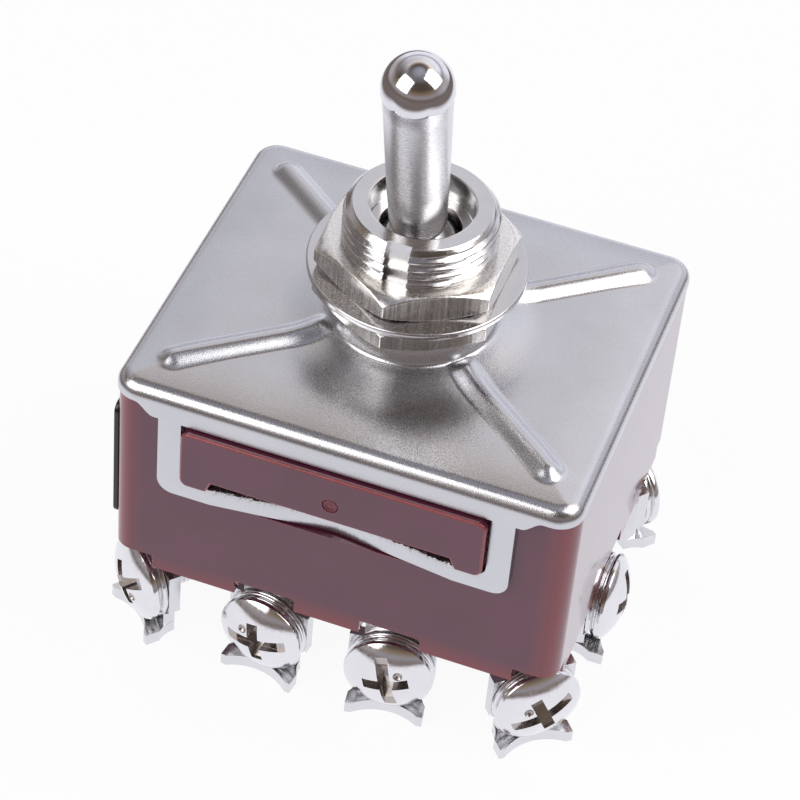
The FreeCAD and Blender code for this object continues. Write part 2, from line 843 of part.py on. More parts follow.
def partitions_and_ledges():
    """Walls between the poles, and the ledges that carry the carriage."""
    ledge_top = carriage_base - S["guide_gap"]
    walls = []
    for name, x in (("left", -partition_x), ("middle", sized(0)), ("right", partition_x)):
        walls.append(block("partition_" + name, (x - S["partition"] / 2, x + S["partition"] / 2),
                           both(room_y + 0.2), (floor_top - 0.2, ledge_top - 0.4)))
    inner = carriage_half_x - S["guide_len"]
    for side in (-1, 1):
        span = (inner, room_x + 0.2) if side > 0 else (-room_x - 0.2, -inner)
        walls.append(block("ledge", span, both(room_y - S["ledge_margin"]), (floor_top - 0.2, ledge_top)))
    return walls


def lug_places():
    """Name, x, y, turn about Z, and pole of each of the twelve lugs."""
    places = []
    for pole, (x, y, angle) in enumerate((
            (-lug_outer_x, lug_outer_y, -S["lug_outer_turn"]),
            (-lug_left_x, lug_inner_y, -S["lug_inner_turn"]),
            (lug_right_x, lug_inner_y, S["lug_inner_turn"]),
            (lug_outer_x, lug_outer_y, S["lug_outer_turn"])), start=1):
        places.append(("lug_front_%d" % pole, x, -y, angle, pole))
        places.append(("lug_rear_%d" % pole, x, y, sized(180) - angle, pole))
    for pole, (x, angle) in enumerate(((-lug_side_x, -90), (-lug_mid_x, -90),
                                       (lug_mid_x, 90), (lug_side_x, 90)), start=1):
        places.append(("lug_common_%d" % pole, x, sized(0), sized(angle), pole))
    return places


def lug_slots():
    """Slots in the floor and pockets in the walls for the tails of the lugs."""
    tools = []
    gap = S["slot_gap"]
    for name, x, y, angle, pole in lug_places():
        jog = jog_depth(name)
        tail = block(name + "_slot_tail", both(S["tail_half"] + gap),
                     (jog - gap, jog + S["lug_sheet"] + gap), (floor_under - 1, foot_top + gap))
        bend = block(name + "_slot_bend", both(S["tail_half"] + gap),
                     (jog - gap, jog + S["lug_sheet"] + bend_length(name) + 0.1), (floor_top, foot_top + gap))
        tool = joined(name + "_slot", [tail, bend])
        turn(tool, (0, 0, 1), angle)
        put(tool, x, y, 0)
        tools.append(tool)
        if name.startswith("lug_common"):
            tools.append(common_tunnel(name, x, pole))
    return tools


def jog_depth(name):
    """How far the tail of a lug stands behind its face."""
    if name in ("lug_common_1", "lug_common_4"):
        return lug_side_x - room_x + 0.4
    return sized(0)


def bend_length(name):
    """How far the bent end of a tail runs in before it meets the foot."""
    if name[-1] in "14" and not name.startswith("lug_common"):
        return S["outer_bend"]
    return S["inner_bend"]


def common_tunnel(name, x, pole):
    """The way under the ledge for the foot of an outer common lug."""
    gap = S["slot_gap"]
    centre = pole_places[pole - 1]
    edge = x + lug_side_x - room_x if x.value < 0 else x - (lug_side_x - room_x)
    span = (edge, centre) if x.value < 0 else (centre, edge)
    if name in ("lug_common_2", "lug_common_3"):
        span = (x - 0.5, x + 0.5)
    return block(name + "_tunnel", span, both(S["tail_half"] + gap), (floor_top, foot_top + gap))


def blade(name, jog):
    """The outside of a lug: plate with shoulders, waist and a forked shelf, about its screw axis."""
    rise = S["shoulder_rise"]
    flank = S["lug_flank"]
    clip = S["lug_clip"]
    slope = flank + S["lug_clip_slope"]
    points = [
        (-S["lug_half"], rise),
        (-S["lug_half"], -flank + clip),
        (-S["lug_half"] + clip, -flank),
        (-S["waist_half"], -slope),
        (-S["waist_half"], -S["shelf_drop"]),
        (S["waist_half"], -S["shelf_drop"]),
        (S["waist_half"], -slope),
        (S["lug_half"] - clip, -flank),
        (S["lug_half"], -flank + clip),
        (S["lug_half"], rise),
    ]
    line = outline(name + "_plate_line", points, "XZ")
    plate = pushed(name + "_plate", line, S["lug_sheet"], (0, 1, 0))
    put(line, 0, 0, screw_z)
    shelf_top = screw_z - S["shelf_drop"] + S["shelf_thick"]
    shelf = block(name + "_shelf", both(S["shelf_half"]), (-S["shelf_reach"], S["lug_sheet"]),
                  (screw_z - S["shelf_drop"], shelf_top))
    under = screw_z - S["shelf_drop"] - 1
    bites = [rod(name + "_mouth", S["shelf_arc_rad"], under, screw_z,
                 y=-S["shelf_reach"] - S["shelf_arc_rad"] + S["shelf_arc_bite"])]
    for side in (-1, 1):
        bites.append(rod(name + "_flank", S["flank_arc_rad"], under, screw_z,
                         x=side * (S["waist_half"] + S["flank_arc_rad"]), y=S["lug_sheet"]))
    shelf = minus(name + "_fork", shelf, bites)
    neck_top = floor_under - S["slot_gap"]
    neck = block(name + "_neck", both(S["neck_half"]), (sized(0), S["lug_sheet"]),
                 (screw_z + rise - 0.5, neck_top))
    pieces = [plate, shelf, neck]
    if jog.value > 0:
        pieces.append(block(name + "_jog", both(S["neck_half"]), (sized(0), jog + S["lug_sheet"]),
                            (neck_top - S["lug_sheet"], neck_top)))
    pieces.append(block(name + "_tail", both(S["tail_half"]), (jog, jog + S["lug_sheet"]),
                        (neck_top - 0.5, foot_top)))
    pieces.append(block(name + "_bend", both(S["tail_half"]), (jog, jog + S["lug_sheet"] + bend_length(name)),
                        (floor_top, foot_top)))
    hole = rod(name + "_hole", S["shank_rad"] + S["run_gap"], -5, 5, z=screw_z, along="y")
    return minus(name + "_blade", joined(name + "_blade_mass", pieces), [hole])


def build_lugs():
    """Twelve lugs, each with a foot on the floor of its pole room."""
    for name, x, y, angle, pole in lug_places():
        centre = pole_places[pole - 1]
        outside = blade(name, jog_depth(name))
        turn(outside, (0, 0, 1), angle)
        put(outside, x, y, 0)
        if name.startswith("lug_common"):
            foot = common_foot(name, x, centre)
        else:
            foot = end_foot(name, x, centre, 1 if y.value > 0 else -1)
        node(joined(name + "_whole", [outside] + foot), name)


def end_foot(name, x, centre, side):
    """A flat foot that reaches in under the rocker's contact."""
    near = S["contact_reach"] - S["contact_rad"] - 0.2
    far = room_y - 0.3
    span = (near, far) if side > 0 else (-far, -near)
    half = S["rocker_width"] / 2 - 0.1
    return [block(name + "_foot", (centre - half, centre + half), span, (floor_top, foot_top))]


def common_foot(name, x, centre):
    """A foot with a round ridge on which the rocker tips."""
    half = S["rocker_width"] / 2 - 0.1
    reach = lug_side_x - room_x
    pieces = []
    if name in ("lug_common_1", "lug_common_4"):
        edge = x + reach + 0.5 if x.value < 0 else x - reach - 0.5
        span = (edge, centre) if x.value < 0 else (centre, edge)
    else:
        span = (x, centre) if x.value < centre.value else (centre, x)
    pieces.append(block(name + "_reach", span, both(S["tail_half"]), (floor_top, foot_top)))
    pieces.append(block(name + "_foot", (centre - half, centre + half), both(S["tail_half"] + 0.3),
                        (floor_top, foot_top)))
    ridge_top = rocker_z - S["rocker_sheet"] / 2 / cosine(S["rocker_dish"]) - S["contact_gap"]
    ridge = rod(name + "_ridge", S["fulcrum_rad"], centre - half, centre + half,
                z=ridge_top - S["fulcrum_rad"], along="x")
    pieces.append(ridge)
    return pieces


def build_screw():
    """Terminal screw with a flanged pan head, a cross recess, a slot and a round dimple."""
    flange = rod("screw_flange", S["flange_rad"], -S["flange_thick"], 0, along="y")
    rim = rod("screw_rim", S["head_rad"], -S["flange_thick"] - S["head_rim"], -S["flange_thick"], along="y")
    crown_rise = S["head_height"] - S["head_rim"]
    crown_rad = (S["head_rad"] * S["head_rad"] + crown_rise * crown_rise) / (2 * crown_rise)
    crown_y = -S["flange_thick"] - S["head_height"] + crown_rad
    crown_ball = ball("screw_crown_ball", crown_rad, 0, crown_y, 0)
    crown_span = rod("screw_crown_span", S["head_rad"], -S["flange_thick"] - S["head_height"] - 1,
                     -S["flange_thick"] - 0.1, along="y")
    crown = shared("screw_crown", [crown_ball, crown_span])
    shank = rod("screw_shank", S["shank_rad"], 0, S["shank_len"], along="y")
    solid = joined("screw_solid", [flange, rim, crown, shank])
    face = -S["flange_thick"] - S["head_height"]
    slot = block("screw_slot", both(S["slot_width"] / 2), (face - 1, face + S["slot_deep"]),
                 both(S["head_rad"] + 1))
    pit_low = face + S["cross_deep"]
    cross = []
    for side in (0, 90):
        arm = wedge_arm("screw_cross_%d" % side, face, pit_low)
        if side:
            turn(arm, (0, 1, 0), side)
        cross.append(arm)
    dimple = rod("screw_dimple", S["dimple_rad"], face - 1, face + S["dimple_deep"], x=S["dimple_x"],
                 z=S["dimple_z"], along="y")
    return minus("screw_cut", solid, [slot, dimple] + cross)


def wedge_arm(name, face, pit_low):
    """One bar of the cross recess, narrower at its floor."""
    half = S["cross_half"]
    points = [
        (-half, face - 1),
        (half, face - 1),
        (half, face + 0.15),
        (half * 0.35, pit_low),
        (-half * 0.35, pit_low),
        (-half, face + 0.15),
    ]
    line = outline(name + "_line", points)
    put(line, 0, 0, -S["cross_width"] / 2)
    return pushed(name, line, S["cross_width"], (0, 0, 1))


SCREW_TURNS = (54, 75, 260, 118, -13, 95, 246, 5, 70, 40, 110, 20)


def build_screws():
    """Twelve alike screws, one in each lug, each stopped at its own angle."""
    pattern = build_screw()
    placed = []
    for number, (name, x, y, angle, pole) in enumerate(lug_places()):
        spun = copy_of("screw_spun_%d" % number, pattern)
        turn(spun, (0, 1, 0), SCREW_TURNS[number])
        seated = copy_of("screw_seated_%d" % number, spun)
        turn(seated, (0, 0, 1), angle)
        put(seated, x, y, screw_z)
        placed.append(seated)
    group = add("Part::Compound", "screw_group")
    group.Links = placed
    return node(group, "terminal_screws")


def build_carriage():
    """Moulded carriage that the lever's tail slides, with four bores for the plungers."""
    body = body_with("carriage_body")
    half = S["carriage_half_y"]
    plan = [(-carriage_half_x, -half), (carriage_half_x, -half), (carriage_half_x, half),
            (-carriage_half_x, half)]
    sketch = body_sketch(body, "carriage_plan", "XY_Plane", plan)
    bind(sketch, "AttachmentOffset.Base.z", carriage_base)
    pad = body.newObject("PartDesign::Pad", "carriage_pad")
    pad.Profile = sketch
    bind(pad, "Length", -S["carriage_top"] - carriage_base)
    doc.recompute()
    ends = []
    for side in (-1, 1):
        inner = carriage_half_x - S["guide_len"]
        span = (inner, carriage_half_x) if side > 0 else (-carriage_half_x, -inner)
        ends.append(block("carriage_guide", span, both(half),
                          (-S["carriage_top"] - 0.5, body_top - S["guide_gap"])))
    cuts = [block("carriage_slot", both(S["tail_ball_rad"] + 0.15), both(S["tail_ball_rad"] + S["run_gap"]),
                  (tail_low - S["slot_floor_gap"], sized(0)))]
    for x in pole_places:
        cuts.append(rod("carriage_bore", S["plunger_rad"] + S["run_gap"], carriage_base - 1, bore_top,
                        x=x))
    for side in (-1, 1):
        cuts.append(block("carriage_relief", both(carriage_half_x - S["relief_margin"]),
                          (side * half - S["relief_reach"], side * half + S["relief_reach"]),
                          (-S["carriage_top"] - S["relief_deep"], sized(0))))
    carriage = minus("carriage_cut", joined("carriage_mass", [body] + ends), cuts)
    put(carriage, 0, travel, 0)
    return node(carriage, "carriage")


def plunger_centre():
    """Height of the plunger's round end when it rests on the wing of a tipped rocker."""
    slope = S["rocker_dish"] - S["rocker_tilt"]
    lift = (S["plunger_rad"] + 0.1 + S["rocker_sheet"] / 2 + travel * sine(slope)) / cosine(slope)
    return rocker_z + lift


def build_plungers():
    """Four round-ended plungers, one over each rocker."""
    centre = plunger_centre()
    stem = rod("plunger_stem", S["plunger_rad"], centre, plunger_top)
    tip = ball("plunger_tip", S["plunger_rad"], 0, 0, centre)
    pattern = joined("plunger_solid", [stem, tip])
    for pole, x in enumerate(pole_places, start=1):
        piece = copy_of("plunger_copy_%d" % pole, pattern)
        put(piece, x, travel, 0)
        node(piece, "plunger_%d" % pole)


def build_springs():
    """Four coil springs, each between its plunger and the top of its bore."""
    length = S["spring_room"].value
    wire = S["wire_rad"].value
    radius = S["spring_rad"].value
    coil = length - 2 * wire - 0.04
    pitch = coil / S["spring_turns"].value
    path = Part.makeHelix(pitch, coil, radius)
    angles = [math.radians(60 * k) for k in range(6)]
    corners = [FreeCAD.Vector(radius + wire * math.cos(a), 0, wire * math.sin(a)) for a in angles]
    section = Part.Wire([Part.LineSegment(corners[k], corners[(k + 1) % 6]).toShape() for k in range(6)])
    helix = Part.Wire(path.Edges).makePipeShell([section], True, True)
    for pole, x in enumerate(pole_places, start=1):
        piece = add("Part::Feature", "spring_copy_%d" % pole)
        piece.Shape = helix
        put(piece, x, travel, plunger_top + S["wire_rad"] + 0.02)
        node(piece, "plunger_spring_%d" % pole)


def build_rockers():
    """Four dished contact strips that tip on the common lugs, with a button under each end."""
    body = body_with("rocker_body")
    thick = S["rocker_sheet"] / 2
    reach = S["rocker_reach"]
    slant = sine(S["rocker_dish"]) / cosine(S["rocker_dish"])
    lift = thick / cosine(S["rocker_dish"])
    points = [
        (sized(0), -lift),
        (reach, reach * slant - lift),
        (reach, reach * slant + lift),
        (sized(0), lift),
        (-reach, reach * slant + lift),
        (-reach, reach * slant - lift),
    ]
    sketch = body_sketch(body, "rocker_profile", "YZ_Plane", points)
    pad = body.newObject("PartDesign::Pad", "rocker_pad")
    pad.Profile = sketch
    pad.Midplane = True
    bind(pad, "Length", S["rocker_width"])
    buttons = []
    for side in (-1, 1):
        button = rod("button", S["contact_rad"], -S["contact_thick"], 0)
        put(button, 0, 0, -thick - S["contact_thick"])
        seat = copy_of("button_seat", button)
        turn(seat, (1, 0, 0), side * S["rocker_dish"])
        put(seat, 0, side * S["contact_reach"], S["contact_reach"] * slant)
        buttons.append(seat)
    for pole, x in enumerate(pole_places, start=1):
        for source, label in ((body, "rocker_%d"), (buttons, "moving_contacts_%d")):
            piece = add("Part::Compound", (label % pole) + "_copy")
            piece.Links = source if isinstance(source, list) else [source]
            turn(piece, (1, 0, 0), -S["rocker_tilt"])
            put(piece, x, 0, rocker_z)
            node(piece, label % pole)


def build_fixed_contacts():
    """Eight silver buttons riveted on the feet of the front and rear lugs."""
    buttons = []
    slope = S["rocker_dish"] - S["rocker_tilt"]
    under = S["contact_reach"] * sine(slope) / cosine(slope) - S["rocker_sheet"] / 2 - S["contact_thick"]
    top = rocker_z + under - S["contact_gap"] - 0.12
    for x in pole_places:
        for side in (-1, 1):
            button = rod("fixed_button", S["contact_rad"], foot_top, top, x=x, y=side * S["contact_reach"])
            buttons.append(button)
    group = add("Part::Compound", "fixed_group")
    group.Links = buttons
    return node(group, "fixed_contacts")


def build_insulator():
    """Insulating sheet between the housing and the cover."""
    side = half_x - S["sheet"] - S["cover_edge_rad"] + 0.5
    end = half_y - S["sheet"] - S["cover_edge_rad"] + 0.5
    plate = block("insulator_plate", both(side), both(end), (body_top, -S["sheet"]))
    hole = rod("insulator_hole", swage_rad + 0.2, body_top - 1, 0)
    return node(minus("insulator_cut", plate, [hole]), "insulating_sheet")


def build_label():
    """Blank black plate on the left end of the housing."""
    plate = block("label_plate", (-body_half_x - S["label_thick"], -body_half_x),
                  both(body_half_y - S["label_margin"]), (body_base + S["label_foot"], -S["label_top"]))
    return node(rounded("label_round", plate, along_x, S["label_corner_rad"]), "blank_plate")


def along_x(edge):
    ends = edge.Vertexes
    return len(ends) == 2 and abs(ends[0].X - ends[1].X) > 0.1 and abs(ends[0].Y - ends[1].Y) < 1e-6 \
        and abs(ends[0].Z - ends[1].Z) < 1e-6


build_cover()
build_bushing()
build_nut("lower_nut", lower_nut_base)
build_washer()
build_nut("upper_nut", upper_nut_base)
build_lever()
build_pivot_pin()
build_housing()
build_label()
build_insulator()
build_carriage()
build_plungers()
build_springs()
build_rockers()
build_lugs()
build_fixed_contacts()
build_screws()
doc.recompute()

# Nothing is written unless every object is sound

faults = [thing.Name for thing in doc.Objects if {"Invalid", "Error"} & set(thing.State)]
for thing in NODES:
    if thing.Shape.isNull() or not thing.Shape.isValid():
        faults.append(thing.Label)
if faults:
    raise RuntimeError("unsound objects: " + ", ".join(faults))

os.makedirs("parts", exist_ok=True)
for thing in NODES:
    thing.Shape.exportStep("parts/%s.step" % thing.Label)
    box = thing.Shape.BoundBox
    print("%-20s solids %2d volume %9.3f  x %7.2f %7.2f  y %7.2f %7.2f  z %7.2f %7.2f" % (
        thing.Label, len(thing.Shape.Solids), thing.Shape.Volume, box.XMin, box.XMax, box.YMin, box.YMax,
        box.ZMin, box.ZMax))
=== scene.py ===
import math
import random

import bmesh
import bpy
import numpy as np
from mathutils import Matrix, Vector


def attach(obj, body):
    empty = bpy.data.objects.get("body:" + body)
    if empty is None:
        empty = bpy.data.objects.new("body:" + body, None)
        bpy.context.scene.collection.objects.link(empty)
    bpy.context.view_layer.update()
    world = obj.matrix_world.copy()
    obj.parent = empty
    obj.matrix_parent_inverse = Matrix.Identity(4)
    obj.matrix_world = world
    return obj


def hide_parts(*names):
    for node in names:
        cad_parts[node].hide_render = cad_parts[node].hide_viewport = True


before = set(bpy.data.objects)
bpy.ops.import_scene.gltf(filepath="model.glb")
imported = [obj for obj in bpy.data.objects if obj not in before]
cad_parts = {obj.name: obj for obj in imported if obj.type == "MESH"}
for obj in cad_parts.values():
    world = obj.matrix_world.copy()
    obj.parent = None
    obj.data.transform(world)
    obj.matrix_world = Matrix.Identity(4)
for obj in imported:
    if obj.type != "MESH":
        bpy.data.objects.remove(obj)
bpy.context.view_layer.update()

MM = 0.001

# Sizes in millimetres, most of them the same as the solids'. The scene's own are those of the cover's roll, crown,
# hub slope and inner rib ends, the raised block and its gate, the thread's teeth, and the screws' heads and recesses.

COVER_HALF = (18.525, 15.8)
COVER_ROLL = 1.15
COVER_CORNER = 2.0
CROWN_REACH = 4.4
CROWN_DROP = 0.28
CROWN_TURN = math.atan(2 * CROWN_DROP / CROWN_REACH)
ROLL_INSET = COVER_ROLL * (1 - math.sin(CROWN_TURN))
SHEET = 0.6
COLLAR_TOP = 2.6
HUB_SLOPE = ((6.1, 2.55), (6.28, 2.4), (6.58, 1.05), (6.64, 0.86), (6.74, 0.73), (6.92, 0.64), (7.3, 0.54),
             (7.8, 0.40), (8.4, 0.235), (9.0, 0.105), (9.6, 0.03), (10.2, 0.0))
BUSHING_BORE = 5.6
RIB_TIP = (14.9, 11.9)
RIB_HALF_WIDTH = 1.4
RIB_RISE = 0.6
RIB_START = 6.7
RIB_BLEND = 0.8
SIDE_SKIRT = 1.8
FRONT_SKIRT = 3.0
SKIRT_EASE = 0.4
STRAP_SHIFT = -0.3
STRAP_HALF = 14.25
STRAP_LEG = 1.9
STRAP_LOW = -10.5
STRAP_FOOT = 1.65
STRAP_BEND = 1.3
WINDOW_BEND = 0.7
CRIMP_DEPTH = 1.2
CRIMP_HALF = 9.9
BLOCK_FACE = 15.75
BLOCK_RAISE = 0.6
BLOCK_HALF = 12.4
BLOCK_SPAN = (-9.5, -2.5)
GATE_LEVEL = -6.03

THREAD_RAD = 6.0
THREAD_PITCH = 0.75
THREAD_DEPTH = 0.40
NUT_TOP = 8.0
BUSHING_TOP = 11.25
CHAMFER = 0.75
CHAMFER_SLOPE = 0.85
MOUTH_RAD = 4.02
KEYWAY_HALF = 0.96
KEYWAY_DEPTH = 0.95

PIVOT_HEIGHT = 5.9
PIVOT_BALL_RAD = 3.62
TAIL_BALL_RAD = 1.6
TAIL_BALL_LEVEL = -10.9
NECK_RAD = 1.5
STEM_FOOT = 4.9
STEM_FOOT_BEND = 0.85
STEM_RAD = 2.2
TIP_RAD = 2.72
TIP_REACH = 19.85
# The lever's lean in the photograph, in degrees
THROW = 12.2

SCREW_LEVEL = -24.1
SCREW_PITCH = 0.38
HEAD_RAD = 3.55
HEAD_TOP = 2.5
HEAD_RISE = 1.2
SLOT_DEPTH = 0.62
CROSS_DEPTH = 1.7
FLOOR = -28.9

# Every screw: x, y, the way that its lug faces and how far the screw is turned, both in degrees
SCREWS = (
    (-16.3, -12.4, -41, 54),
    (-16.3, 12.4, 221, 75),
    (-5.5, -13.8, -8, 260),
    (-5.5, 13.8, 188, 118),
    (4.95, -13.8, 8, -13),
    (4.95, 13.8, 172, 95),
    (16.3, -12.4, 41, 246),
    (16.3, 12.4, 139, 5),
    (-17.85, 0, -90, 70),
    (-6.2, 0, -90, 40),
    (6.2, 0, 90, 110),
    (17.85, 0, 90, 20),
)

# Where the housing's corners glow ruddier, along X and along Y, in metres as the Object coordinates are
CORNER_ACROSS = (0.0160, 0.0179)
CORNER_ALONG = (0.0130, 0.0150)


# Nodes and materials


def new_group(name, inputs, outputs):
    """An empty shader node group with named sockets."""
    group = bpy.data.node_groups.new(name, "ShaderNodeTree")
    for label, kind, value in inputs:
        socket = group.interface.new_socket(label, in_out="INPUT", socket_type=kind)
        socket.default_value = value
    for label, kind in outputs:
        group.interface.new_socket(label, in_out="OUTPUT", socket_type=kind)
    return group, group.nodes.new("NodeGroupInput"), group.nodes.new("NodeGroupOutput")


def mathed(tree, operation, first, second=None, third=None):
    """A math node fed by links or numbers."""
    node = tree.nodes.new("ShaderNodeMath")
    node.operation = operation
    for index, value in enumerate((first, second, third)):
        if value is None:
            continue
        if isinstance(value, (int, float)):
            node.inputs[index].default_value = value
        else:
            tree.links.new(value, node.inputs[index])
    return node.outputs[0]


def noise_of(tree, vector, scale, detail=3.0, rough=0.55):
    """A noise value, its scale fed by a link."""
    node = tree.nodes.new("ShaderNodeTexNoise")
    tree.links.new(vector, node.inputs["Vector"])
    tree.links.new(scale, node.inputs["Scale"])
    node.inputs["Detail"].default_value = detail
    node.inputs["Roughness"].default_value = rough
    return node.outputs["Fac"]


def grain_group():
    """Fine pits and broad cloudy patches, as rolled and plated sheet has."""
    group, start, end = new_group(
        "metal_grain",
        [("Fine Scale", "NodeSocketFloat", 5000.0), ("Cloud Scale", "NodeSocketFloat", 180.0),
         ("Stretch", "NodeSocketVector", (1.0, 1.0, 1.0)), ("Turn", "NodeSocketVector", (0.0, 0.0, 0.0))],
        [("Fine", "NodeSocketFloat"), ("Cloud", "NodeSocketFloat"), ("Scratch", "NodeSocketFloat")])
    coord = group.nodes.new("ShaderNodeTexCoord")
    mapping = group.nodes.new("ShaderNodeMapping")
    mapping.vector_type = "TEXTURE"
    group.links.new(coord.outputs["Object"], mapping.inputs["Vector"])
    group.links.new(start.outputs["Stretch"], mapping.inputs["Scale"])
    group.links.new(start.outputs["Turn"], mapping.inputs["Rotation"])
    fine = noise_of(group, coord.outputs["Object"], start.outputs["Fine Scale"], 2.0)
    cloud = noise_of(group, coord.outputs["Object"], start.outputs["Cloud Scale"])
    scratch = noise_of(group, mapping.outputs["Vector"], start.outputs["Fine Scale"], 3.0, 0.65)
    group.links.new(fine, end.inputs["Fine"])
    group.links.new(cloud, end.inputs["Cloud"])
    group.links.new(scratch, end.inputs["Scratch"])
    return group


def specks_group():
    """Sparse round dust specks."""
    group, start, end = new_group(
        "dust_specks",
        [("Scale", "NodeSocketFloat", 900.0), ("Amount", "NodeSocketFloat", 0.06)],
        [("Mask", "NodeSocketFloat")])
    coord = group.nodes.new("ShaderNodeTexCoord")
    cells = group.nodes.new("ShaderNodeTexVoronoi")
    group.links.new(coord.outputs["Object"], cells.inputs["Vector"])
    group.links.new(start.outputs["Scale"], cells.inputs["Scale"])
    chosen = group.nodes.new("ShaderNodeSeparateColor")
    group.links.new(cells.outputs["Color"], chosen.inputs["Color"])
    rare = mathed(group, "LESS_THAN", chosen.outputs["Red"], start.outputs["Amount"])
    size = mathed(group, "MULTIPLY", chosen.outputs["Green"], 0.13)
    near = mathed(group, "LESS_THAN", cells.outputs["Distance"], size)
    mask = mathed(group, "MULTIPLY", rare, near)
    group.links.new(mask, end.inputs["Mask"])
    return group


GRAIN = grain_group()
SPECKS = specks_group()


def placed_group(tree, group, **values):
    """A group node with its named inputs set."""
    node = tree.nodes.new("ShaderNodeGroup")
    node.node_tree = group
    for label, value in values.items():
        node.inputs[label.replace("_", " ")].default_value = value
    return node


def new_material(name):
    """An empty material, its node tree and its shader."""
    material = bpy.data.materials.new(name)
    material.use_nodes = True
    tree = material.node_tree
    return material, tree, tree.nodes["Principled BSDF"]


def mixed_colour(tree, factor, first, second):
    """A mix of two colours, each a link or three numbers."""
    node = tree.nodes.new("ShaderNodeMix")
    node.data_type = "RGBA"
    tree.links.new(factor, node.inputs[0])
    # Inputs 6 and 7 and output 2 are the colour sockets of this node
    for index, value in ((6, first), (7, second)):
        if isinstance(value, tuple):
            node.inputs[index].default_value = (*value, 1.0)
        else:
            tree.links.new(value, node.inputs[index])
    return node.outputs[2]


def scaled_colour(tree, colour, factor):
    """A colour made lighter or darker by a factor."""
    node = tree.nodes.new("ShaderNodeVectorMath")
    node.operation = "SCALE"
    tree.links.new(colour, node.inputs[0])
    tree.links.new(factor, node.inputs["Scale"])
    return node.outputs[0]


def ranged(tree, value, low, high, new_low, new_high):
    """A value carried from one range to another."""
    node = tree.nodes.new("ShaderNodeMapRange")
    tree.links.new(value, node.inputs["Value"])
    for label, number in (("From Min", low), ("From Max", high), ("To Min", new_low), ("To Max", new_high)):
        node.inputs[label].default_value = number
    return node.outputs["Result"]


def bumped(tree, shader, height, strength, distance):
    """Gives a shader a fine relief."""
    node = tree.nodes.new("ShaderNodeBump")
    node.inputs["Strength"].default_value = strength
    node.inputs["Distance"].default_value = distance
    tree.links.new(height, node.inputs["Height"])
    tree.links.new(node.outputs["Normal"], shader.inputs["Normal"])


def plated_metal(name, bright, dull, rough, fine=5000.0, cloud=180.0, stretch=(1, 1, 1), grain=0.15,
                 scratch=0.0, depth=0.00002, spread=0.06, turn=(0, 0, 0), streak=0.0):
    """Plated metal: cloudy tone, fine grain in gloss and surface, and optional brushed lines."""
    material, tree, shader = new_material(name)
    marks = placed_group(tree, GRAIN, Fine_Scale=fine, Cloud_Scale=cloud, Stretch=stretch, Turn=turn)
    tone = ranged(tree, marks.outputs["Cloud"], 0.35, 0.65, 0.0, 1.0)
    base = mixed_colour(tree, tone, dull, bright)
    if streak:
        base = scaled_colour(tree, base, ranged(tree, marks.outputs["Scratch"], 0.35, 0.65, 1 - streak, 1 + streak))
    tree.links.new(base, shader.inputs["Base Color"])
    shader.inputs["Metallic"].default_value = 1.0
    source = marks.outputs["Scratch"] if scratch else marks.outputs["Fine"]
    gloss = ranged(tree, source, 0.3, 0.7, rough - spread, rough + spread)
    tree.links.new(gloss, shader.inputs["Roughness"])
    bumped(tree, shader, source, scratch or grain, depth)
    return material


def moulding(name, colour, dark, rough, coat=0.0, speck=(0.85, 0.82, 0.82), amount=0.035, rim=None):
    """Moulded resin with a faint orange-peel skin and sparse dust. A rim of (low, high, colour) paints a ruddy
    glow, standing in for light through the resin, at the lower rim, between two heights in metres, and at the
    corners."""
    material, tree, shader = new_material(name)
    marks = placed_group(tree, GRAIN, Fine_Scale=1400.0, Cloud_Scale=120.0)
    dust = placed_group(tree, SPECKS, Scale=1100.0, Amount=amount)
    tone = ranged(tree, marks.outputs["Cloud"], 0.35, 0.65, 0.0, 1.0)
    base = mixed_colour(tree, tone, dark, colour)
    if rim:
        low, high, glow_red = rim
        coord = tree.nodes.new("ShaderNodeTexCoord")
        split = tree.nodes.new("ShaderNodeSeparateXYZ")
        tree.links.new(coord.outputs["Object"], split.inputs[0])
        # Painted glow: ruddier towards the lower rim, the band's edge wandering with the cloud noise
        glow_height = mathed(tree, "MULTIPLY_ADD", marks.outputs["Cloud"], 0.002, split.outputs["Z"])
        base = mixed_colour(tree, ranged(tree, glow_height, low, high, 1.0, 0.0), base, glow_red)
        # Painted glow: ruddier at the housing's corners too
        across = ranged(tree, mathed(tree, "ABSOLUTE", split.outputs["X"]), *CORNER_ACROSS, 0.0, 0.85)
        along = ranged(tree, mathed(tree, "ABSOLUTE", split.outputs["Y"]), *CORNER_ALONG, 0.0, 1.0)
        base = mixed_colour(tree, mathed(tree, "MULTIPLY", across, along), base, glow_red)
    base = mixed_colour(tree, dust.outputs["Mask"], base, speck)
    tree.links.new(base, shader.inputs["Base Color"])
    gloss = ranged(tree, marks.outputs["Fine"], 0.3, 0.7, rough * 0.85, rough * 1.2)
    tree.links.new(gloss, shader.inputs["Roughness"])
    shader.inputs["Coat Weight"].default_value = coat
    shader.inputs["Coat Roughness"].default_value = 0.04
    bumped(tree, shader, marks.outputs["Fine"], 0.04, 0.00002)
    return material


